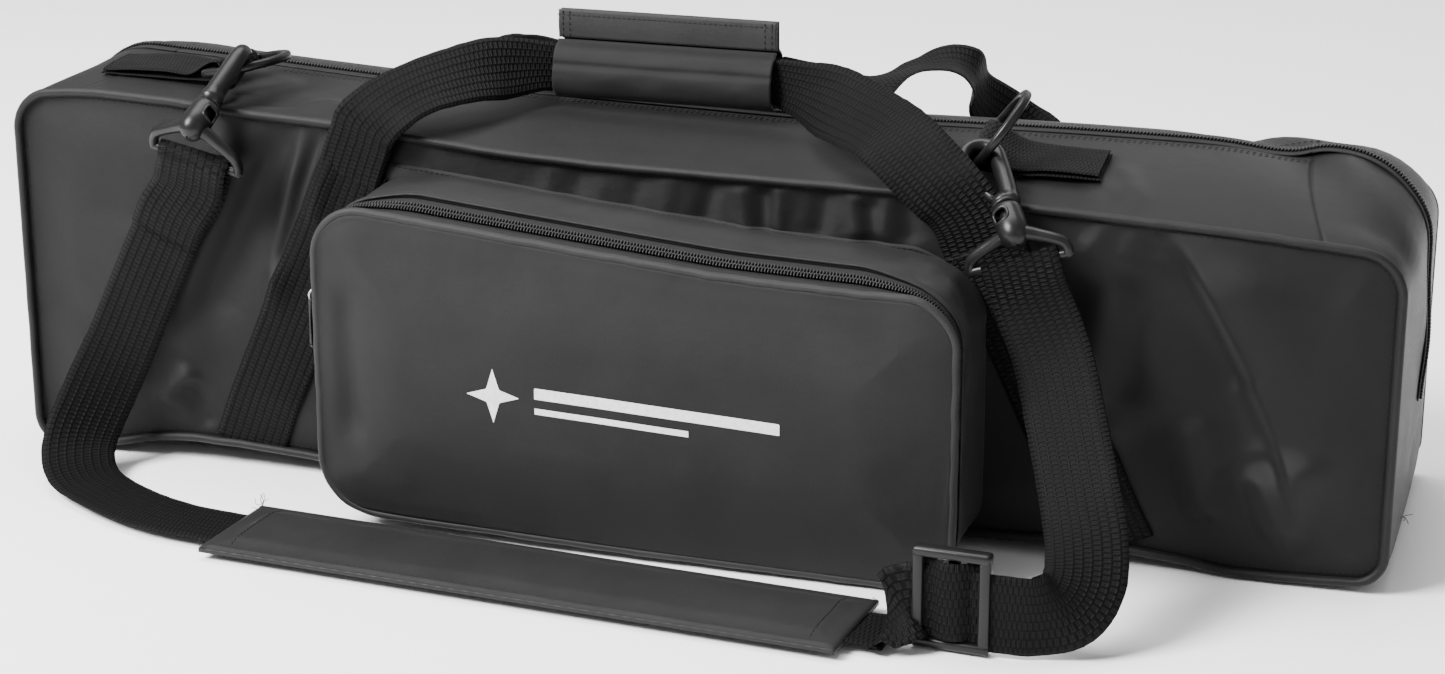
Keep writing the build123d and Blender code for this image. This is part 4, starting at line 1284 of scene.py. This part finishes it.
def tab(name, c, b, cut_x, node, lift):
    c, b = np.array(c), unit(b)
    s = 1 if cut_x > c[0] else -1
    r = 4.4
    up_ = np.array((0, 0, 1.0))
    away = np.array((s, 0, 0.0))
    x1, xm = c[0] + s * 14, c[0] + s * 32
    slope = (float(top_at(cut_x, -30)) - float(top_at(cut_x, -60))) / 30
    end_w = unit((0, 1, slope))
    top = lambda x, dy=0: float(top_at(x, c[1] + dy))
    lo_ = [((cut_x, c[1], top(cut_x) + 1.4), end_w), ((xm, c[1], top(xm) + 1.8), end_w),
           ((x1, c[1], max(top(x1) + 2.4, c[2] - 7)), b)]
    bar_ = [(c - away * (r * math.cos(t)) + up_ * (r * math.sin(t)), b)
            for t in np.radians(np.linspace(-80, 100, 5))]
    hi_ = [((x1, c[1], max(top(x1) + 5.2, c[2] - 4)), b), ((xm, c[1], top(xm) + 4.4 + lift), end_w),
           ((cut_x - s, c[1], top(cut_x) + 3.4), end_w)]
    return web(name, lo_ + bar_ + hi_, 31.0, 1.4, FINE_WEB, "bag", "webbing", node, n=8, step=1.8,
               wave=0.5, seed=3)


tab("left_ring_tab_webbing", LR[0], LR[1], -312.0, "left_ring_tab", 1.0)
tab("right_ring_tab_webbing", RR[0], RR[1], 206.0, "right_ring_tab", 0.0)


# ---------------------------------------------------------------- swivel hooks
def lathe(low, up_, side, prof, sides=28, skip=None):
    """Turned shape: prof is (height, radius). skip(k, i) leaves a face out."""
    low, u = np.array(low, float), unit(up_)
    v = unit(np.array(side) - u * np.dot(side, u))
    w = np.cross(u, v)
    a = np.linspace(0, 2 * math.pi, sides, endpoint=False)
    P = np.zeros((len(prof), sides, 3))
    for i, (h, r) in enumerate(prof):
        P[i] = low + u * h + (v[None] * np.cos(a)[:, None] + w[None] * np.sin(a)[:, None]) * r
    F = quads(len(prof), sides, False, True)
    if skip is not None:
        F = np.array([f for f in F if not skip(f[0] // sides, f[0] % sides)])
    return P.reshape(-1, 3), F[:, ::-1]


def tube_parts(pts, radius, sides=14, flat=1.0, first=None):
    """Vertices and faces of an open tube with rounded ends; its radius may vary."""
    p = np.asarray(pts, float)
    t, n, b = carried(p, first)
    r = np.broadcast_to(np.asarray(radius, float), (len(p),))
    lead = [(0.98, 0.25), (0.75, 0.66), (0.35, 0.93)]       # steps past an end, and the width left there
    P0 = np.vstack([[p[0] - t[0] * r[0] * k for k, _ in lead], p,
                    [p[-1] + t[-1] * r[-1] * k for k, _ in lead[::-1]]])
    R0 = np.concatenate([[r[0] * w for _, w in lead], r, [r[-1] * w for _, w in lead[::-1]]])
    n, b = (np.vstack([[a[0]] * 3, a, [a[-1]] * 3]) for a in (n, b))
    a = np.linspace(0, 2 * math.pi, sides, endpoint=False)
    V = P0[:, None] + (n[:, None] * np.cos(a)[None, :, None] + b[:, None]
                       * (np.sin(a) * flat)[None, :, None]) * R0[:, None, None]
    F = closed_ends(len(P0), sides)
    return V.reshape(-1, 3), [f[::-1] for f in F]


def hook(side_name, top, u, v, bar_c, bar_d):
    top, u = np.array(top), unit(u)
    v = np.array(v, float)
    v = unit(v - u * np.dot(u, v))
    w3 = np.cross(u, v)
    low = top - u * 15.0
    bar_c, bd = np.array(bar_c), unit(bar_d)

    def at(w, k, s=0.0):
        return top + u * w + v * k + w3 * s

    # barrel with a window through it, and a rounded chin below
    prof = [(-7.4, 0.6), (-7.0, 2.6), (-5.6, 4.9), (-3.0, 6.5), (0.0, 7.3), (2.6, 7.5), (4.2, 7.5),
            (9.6, 7.3), (11.4, 7.2), (13.6, 7.0), (14.6, 6.4), (15.0, 5.2), (15.0, 4.2)]
    window = lambda i, k: i in (6, 7) and (k % 14) in (1, 2, 3, 4, 5)
    outer = lathe(low, u, v, prof, skip=window)
    inner_ = lathe(low, u, v, [(15.0, 4.2), (11.4, 4.4), (9.6, 4.6), (4.2, 4.6), (3.2, 4.2), (3.0, 0.3)])
    parts = [outer, inner_]
    for base_k in (0, 14):
        a0, a1 = 2 * math.pi * (base_k + 1) / 28, 2 * math.pi * (base_k + 6) / 28
        loop_ = []
        for t in np.linspace(0, 2 * math.pi, 26, endpoint=False):
            aa = (a0 + a1) / 2 + (a1 - a0) / 2 * 1.05 * math.copysign(abs(math.cos(t)) ** 0.6, math.cos(t))
            hh = 7.8 + 3.8 * math.copysign(abs(math.sin(t)) ** 0.6, math.sin(t))
            loop_.append(low + u * hh + (v * math.cos(aa) + w3 * math.sin(aa)) * 7.1)
        loop_ = np.array(loop_)
        parts.append(loop_tube(loop_, 0.85, 8))
    for k in (-1, 1):
        end = bar_c + bd * (k * 23.5)
        knee = end + (low - bar_c) * 0.35 - bd * k
        line = catmull([low + bd * (k * 3.0) - u * 0.5, low + bd * (k * 9) + (bar_c - low) * 0.16,
                        knee + (low - bar_c) * 0.14 - bd * k * 2.4,
                        knee - (low - bar_c) * 0.12 + bd * k * 0.8, end + (low - bar_c) * 0.04], 7)
        rad = np.interp(np.linspace(0, 1, len(line)), [0, 0.3, 0.7, 1], [4.0, 3.1, 2.5, 2.5])
        parts.append(tube_parts(line, rad, first=bd))
    parts.append(tube_parts(np.array([bar_c + bd * f for f in np.linspace(-23.5, 23.5, 12)]), 2.5))
    pieces_mesh(side_name + "_hook_barrel", parts, PLASTIC, "bag",
                side_name + "_hook_base")

    shaft = [at(4.2, -2.6), at(8, -3.2), at(14, -3.6), at(22, -3.9), at(29, -4.0), at(33, -4.0)]
    for t in np.linspace(0, math.pi, 9)[1:]:
        shaft.append(at(33 + 8.2 * math.sin(t), 4.0 - 8.0 * math.cos(t)))
    shaft += [at(30.5, 12.2), at(27.6, 12.0)]
    line = catmull(shaft, 5)
    f = np.linspace(0, 1, len(line))
    rad = np.interp(f, [0, 0.06, 0.3, 0.55, 0.8, 1.0], [5.4, 4.6, 4.1, 3.7, 3.5, 3.1])
    parts = [tube_parts(line, rad, 18, 1.12, v)]
    for prof_ in ([(-9, 3.0), (-8.6, 3.5), (0.8, 3.5)],
                  [(-11.2, 0.4), (-11.0, 3.6), (-9.2, 4.0), (-8.6, 3.2)],
                  [(0.6, 3.4), (0.6, 5.9), (1.1, 6.3), (2.3, 6.3), (2.7, 5.8), (2.8, 5.7), (3.2, 6.0),
                   (4.4, 5.9), (5.6, 5.4), (7.2, 4.6), (8.0, 3.0)]):
        parts.append(lathe(top, u, v, prof_))
    pieces_mesh(side_name + "_hook_moulding", parts, PLASTIC, side_name + "_hook",
                side_name + "_hook_body")
    gate = catmull([at(6.6, 3.6), at(7.6, 5.0), at(12, 7.4), at(18, 9.4), at(22.2, 10.4)], 6)
    rad = np.interp(np.linspace(0, 1, len(gate)), [0, 0.3, 1], [1.5, 1.7, 1.3])
    pieces_mesh(side_name + "_hook_gate_lever", [tube_parts(gate, rad, 12, 1.7, v)], PLASTIC,
                side_name + "_gate",
                side_name + "_hook_gate")


hook("left", (-234.5, -96.0, 192.9), (0.10, 0.86, 0.50), (-0.45, 0.40, -0.80), (-240.0, -100.5, 166.5),
     (0.97, 0.0, -0.24))
hook("right", (168.0, -94.0, 173.0), (-0.42, 0.74, 0.52), (-0.88, -0.42, -0.15), (177.0, -104.0, 151.0),
     (0.96, 0.0, 0.28))

# ---------------------------------------------------------------- shoulder strap
PAD_Z = 4.4
run = [((-259, -95, 130), (0.99, 0.0, 0.1)), ((-274, -95, 100), (0.97, 0.05, 0.2)),
       ((-289, -98, 66), (0.95, 0.15, 0.24)), ((-301, -105, 38), (0.85, 0.45, 0.2)),
       ((-306, -118, 17), (0.72, 0.68, 0.1)), ((-296, -135, 6.5), (0.55, 0.83, 0.02)),
       ((-274, -151, PAD_Z), (0.35, 0.93, 0)), ((-240, -168, PAD_Z), (0.17, 0.98, 0)),
       ((-200, -176.3, PAD_Z), (0.077, 0.997, 0)), ((-90, -184.7, PAD_Z), (0.077, 0.997, 0)),
       ((20, -193.2, PAD_Z), (0.077, 0.997, 0)), ((136, -202.1, PAD_Z), (0.077, 0.997, 0)),
       ((142, -202.6, 8), (0.05, 0.86, 0.5)), ((147, -202.8, 14), (0.0, 0.5, 0.86)),
       ((152, -203.0, 20.5), (0, 0.05, 1)), ((160, -203.6, 20.5), (0, 0, 1)),
       ((198, -206.0, 20.5), (0, 0, 1)), ((212, -203.5, 20.5), (0.1, 0, 1)),
       ((223, -198, 24), (-0.55, 0.02, 0.83)), ((228, -189, 33), (-0.85, 0.05, 0.52)),
       ((226, -176, 46), (-0.97, 0.0, 0.1)), ((219, -160, 62), (-0.97, 0, -0.22)),
       ((208, -138, 86), (-0.96, 0, -0.25)), ((196, -117, 112), (-0.96, 0, -0.27)),
       ((184, -107, 134), (-0.96, 0, -0.28)), ((179.4, -107.6, 148), (-0.96, 0, -0.28)),
       ((176.6, -106.2, 155), (-0.96, 0, -0.28))]


def strap(name, stations, body, nodes, **kw):
    return web(name, stations, 37.0, 1.5, WEBBING, body, "webbing", nodes, **kw)


main = strap("shoulder_strap_webbing", [((-241, -96.4, 163), (0.97, 0, -0.24)),
                                        ((-246, -97, 148), (0.99, 0, -0.05))] + run, "bag",
             "strap_web", n=8, step=3.0, wave=0.4, seed=5)
back_run = [st for st in run if st[0][0] > 200.0 or (st[0][2] > 60 and st[0][0] > 0)]
strap("strap_return_webbing", back_run, "bag", "strap_return_ply", n=8, step=3.0, wave=0.3, shift=-2.6,
      seed=6)
strap("strap_left_end_ply", [((-262, -97.5, 124), (0.99, 0.0, 0.1)), ((-256, -99, 136), (0.99, 0.0, 0.05)),
                             ((-247, -100, 149), (0.99, 0, -0.05)),
                             ((-242, -104.2, 160), (0.97, 0, -0.24)),
                             ((-240, -105.2, 166), (0.97, 0, -0.24)),
                             ((-240, -100.6, 171.4), (0.97, 0, -0.24)),
                             ((-240.4, -96.2, 166), (0.97, 0, -0.24))],
      "bag", (), n=8, step=1.8, wave=0.2, seed=8)

# pad: a flat stitched sleeve with a soft filling
ang = math.radians(-4.4)
pc = np.array([-32.0, -189.2])
nu_, nv_ = 150, 40
PAD_L, PAD_W, PAD_SEAM = 161, 30, 5.2      # half length, half width, and how far in the seam is


def pad_point(u, v, top=True):
    """u along from -PAD_L to PAD_L, v across from -PAD_W to PAD_W."""
    e = np.minimum(PAD_L - np.abs(u), PAD_W - np.abs(v))
    border = ease(e / 4.0)
    th = 1.1 + 1.6 * border + 1.5 * ease((e - 7.0) / 7.0)
    row = np.exp(-(e - PAD_SEAM) ** 2) * 0.8
    n_ = np.array([0.8 * wander(a / 30.0, b / 16.0, 2.0) + 0.4 * wander(a / 9.0, b / 9.0, 6.0)
                   for a, b in zip(u.ravel(), v.ravel())]).reshape(u.shape)
    if top:
        z = PAD_Z + th - row + n_ * ease(e / 6.0) * 0.7
    else:
        z = np.maximum(PAD_Z - th, 0.15)
    x = pc[0] + u * math.cos(ang) - v * math.sin(ang)
    y = pc[1] + u * math.sin(ang) + v * math.cos(ang)
    return np.stack([x, y, z], -1)


uu = np.linspace(-PAD_L, PAD_L, nu_)
vv = PAD_W * np.sin(np.linspace(-1, 1, nv_) * math.pi / 2)
U, Vv = np.meshgrid(uu, vv, indexing="ij")
T, B = pad_point(U, Vv, True), pad_point(U, Vv, False)
Vp = np.vstack([T.reshape(-1, 3), B.reshape(-1, 3)])
Ft = quads(nu_, nv_)
Fb = Ft[:, ::-1] + nu_ * nv_
corner = np.arange(nu_ * nv_).reshape(nu_, nv_)
idx = np.concatenate([corner[:, 0], corner[-1, 1:], corner[-2::-1, -1], corner[0, -2:0:-1]])
Fs = np.stack([idx, np.roll(idx, -1), np.roll(idx, -1) + nu_ * nv_, idx + nu_ * nv_], -1)
Wp = np.vstack([np.stack([U, Vv, 0 * U], -1).reshape(-1, 3)] * 2) * MM
pad = mesh("shoulder_pad_cloth", Vp, np.vstack([Ft, Fb, Fs[:, ::-1]]), PAD, "pad",
           "shoulder_pad", Wp)
a_, b_ = PAD_L - PAD_SEAM, PAD_W - PAD_SEAM
border = [np.vstack([np.stack([np.linspace(-a_, a_, 90), np.full(90, -b_)], -1),
                     np.stack([np.full(16, a_), np.linspace(-b_, b_, 16)], -1),
                       np.stack([np.linspace(a_, -a_, 90), np.full(90, b_)], -1),
                     np.stack([np.full(16, -a_), np.linspace(b_, -b_, 16)], -1)])]
border.append(np.stack([np.full(16, -PAD_L + 14.0), np.linspace(-25, 25, 16)], -1))
border.append(np.stack([np.full(16, PAD_L - 14.0), np.linspace(-25, 25, 16)], -1))
seam("pad_stitches", [(pad_point(l[:, 0], l[:, 1]) + (0, 0, 0.05), rows_of(UP, len(l))) for l in border],
     "pad",
     pitch=3.0, size=0.9)


def frayed(name, at_, body, n, size, seed, lift=(0, 0, 1)):
    g = np.random.default_rng(seed)
    parts = []
    for _ in range(n):
        d = unit(g.normal(0, 1, 3) + np.array(lift))
        p0 = np.array(at_) + g.normal(0, 0.5, 3)
        mid_ = p0 + d * size * 0.5 + g.normal(0, size * 0.15, 3)
        p2 = p0 + d * size + g.normal(0, size * 0.3, 3)
        pts = catmull([p0, mid_, p2], 5)
        pts[:, 2] = np.maximum(pts[:, 2], 0.4)
        parts.append(tube_parts(pts, 0.16, 5))
    return pieces_mesh(name, parts, THREAD, body)


c4 = lambda u, v: tuple(pad_point(np.array([[u]]), np.array([[v]]))[0, 0])
frayed("pad_loose_threads", c4(-160, 29), "pad", 9, 5.0, 3)
frayed("pad_loose_threads_low", c4(-160, -29), "pad", 3, 3.0, 4)
frayed("pad_loose_threads_right", c4(160, 29), "pad", 3, 3.0, 5)
frayed("end_loose_threads", (352.0, -40.0, 22.0), "bag", 4, 4.0, 6, (1, 0, 0))

# tri-glide
gl = np.array([172.0, -204.1, 24.4])
ga = math.radians(-4.2)
ex, ey = np.array([math.cos(ga), math.sin(ga), 0]), np.array([-math.sin(ga), math.cos(ga), 0])
ez = np.array([0, 0, 1.0])


def glide_parts():
    parts = []
    for k in (-1, 1):
        parts.append(rounded_box(k * 15.4, 0, 0, 5.2, 6.6, 47.0, 1.6))
        parts.append(rounded_box(0, 0, k * 21.4, 36.0, 7.6, 4.6, 1.8))
    parts.append(rounded_box(0, 3.4, 0, 6.0, 1.6, 44.0, 0.7))
    return [(np.array([gl + ex * p[0] + ey * p[1] + ez * p[2] for p in v]), f) for v, f in parts]


tg = pieces_mesh("tri_glide_moulding", glide_parts(), PLASTIC, "glide", "tri_glide")
# the web passes over the glide's centre bar
wv = [gl + ex * a - ey * b for a, b in ((-13.0, -1.5), (-8.5, 0.6), (-4, 4.0), (0, 4.6), (4, 4.0),
                                        (8.5, 0.6), (13.0, -1.5))]
web("glide_web_loop", [(tuple(p), (0, 0, 1)) for p in wv], 37.0, 1.4, WEBBING, "glide", "webbing", n=6,
    step=1.5, wave=0.1, seed=11)

# ---------------------------------------------------------------- floor
fm = Nodes("floor_paper")
fp = fm.place()
fm.set(Base_Color=fm.ramp(fm.noise(fp, 40.0, 2.0), [(0.3, 0.985), (0.7, 0.99)]), Roughness=0.7)
floor_me = bpy.data.meshes.new("floor")
floor_me.from_pydata([(-30, -30, -0.0005), (30, -30, -0.0005), (30, 30, -0.0005), (-30, 30, -0.0005)], [],
                     [(0, 1, 2, 3)])
floor_me.materials.append(fm.mat)
floor = bpy.data.objects.new("floor", floor_me)
scene.collection.objects.link(floor)
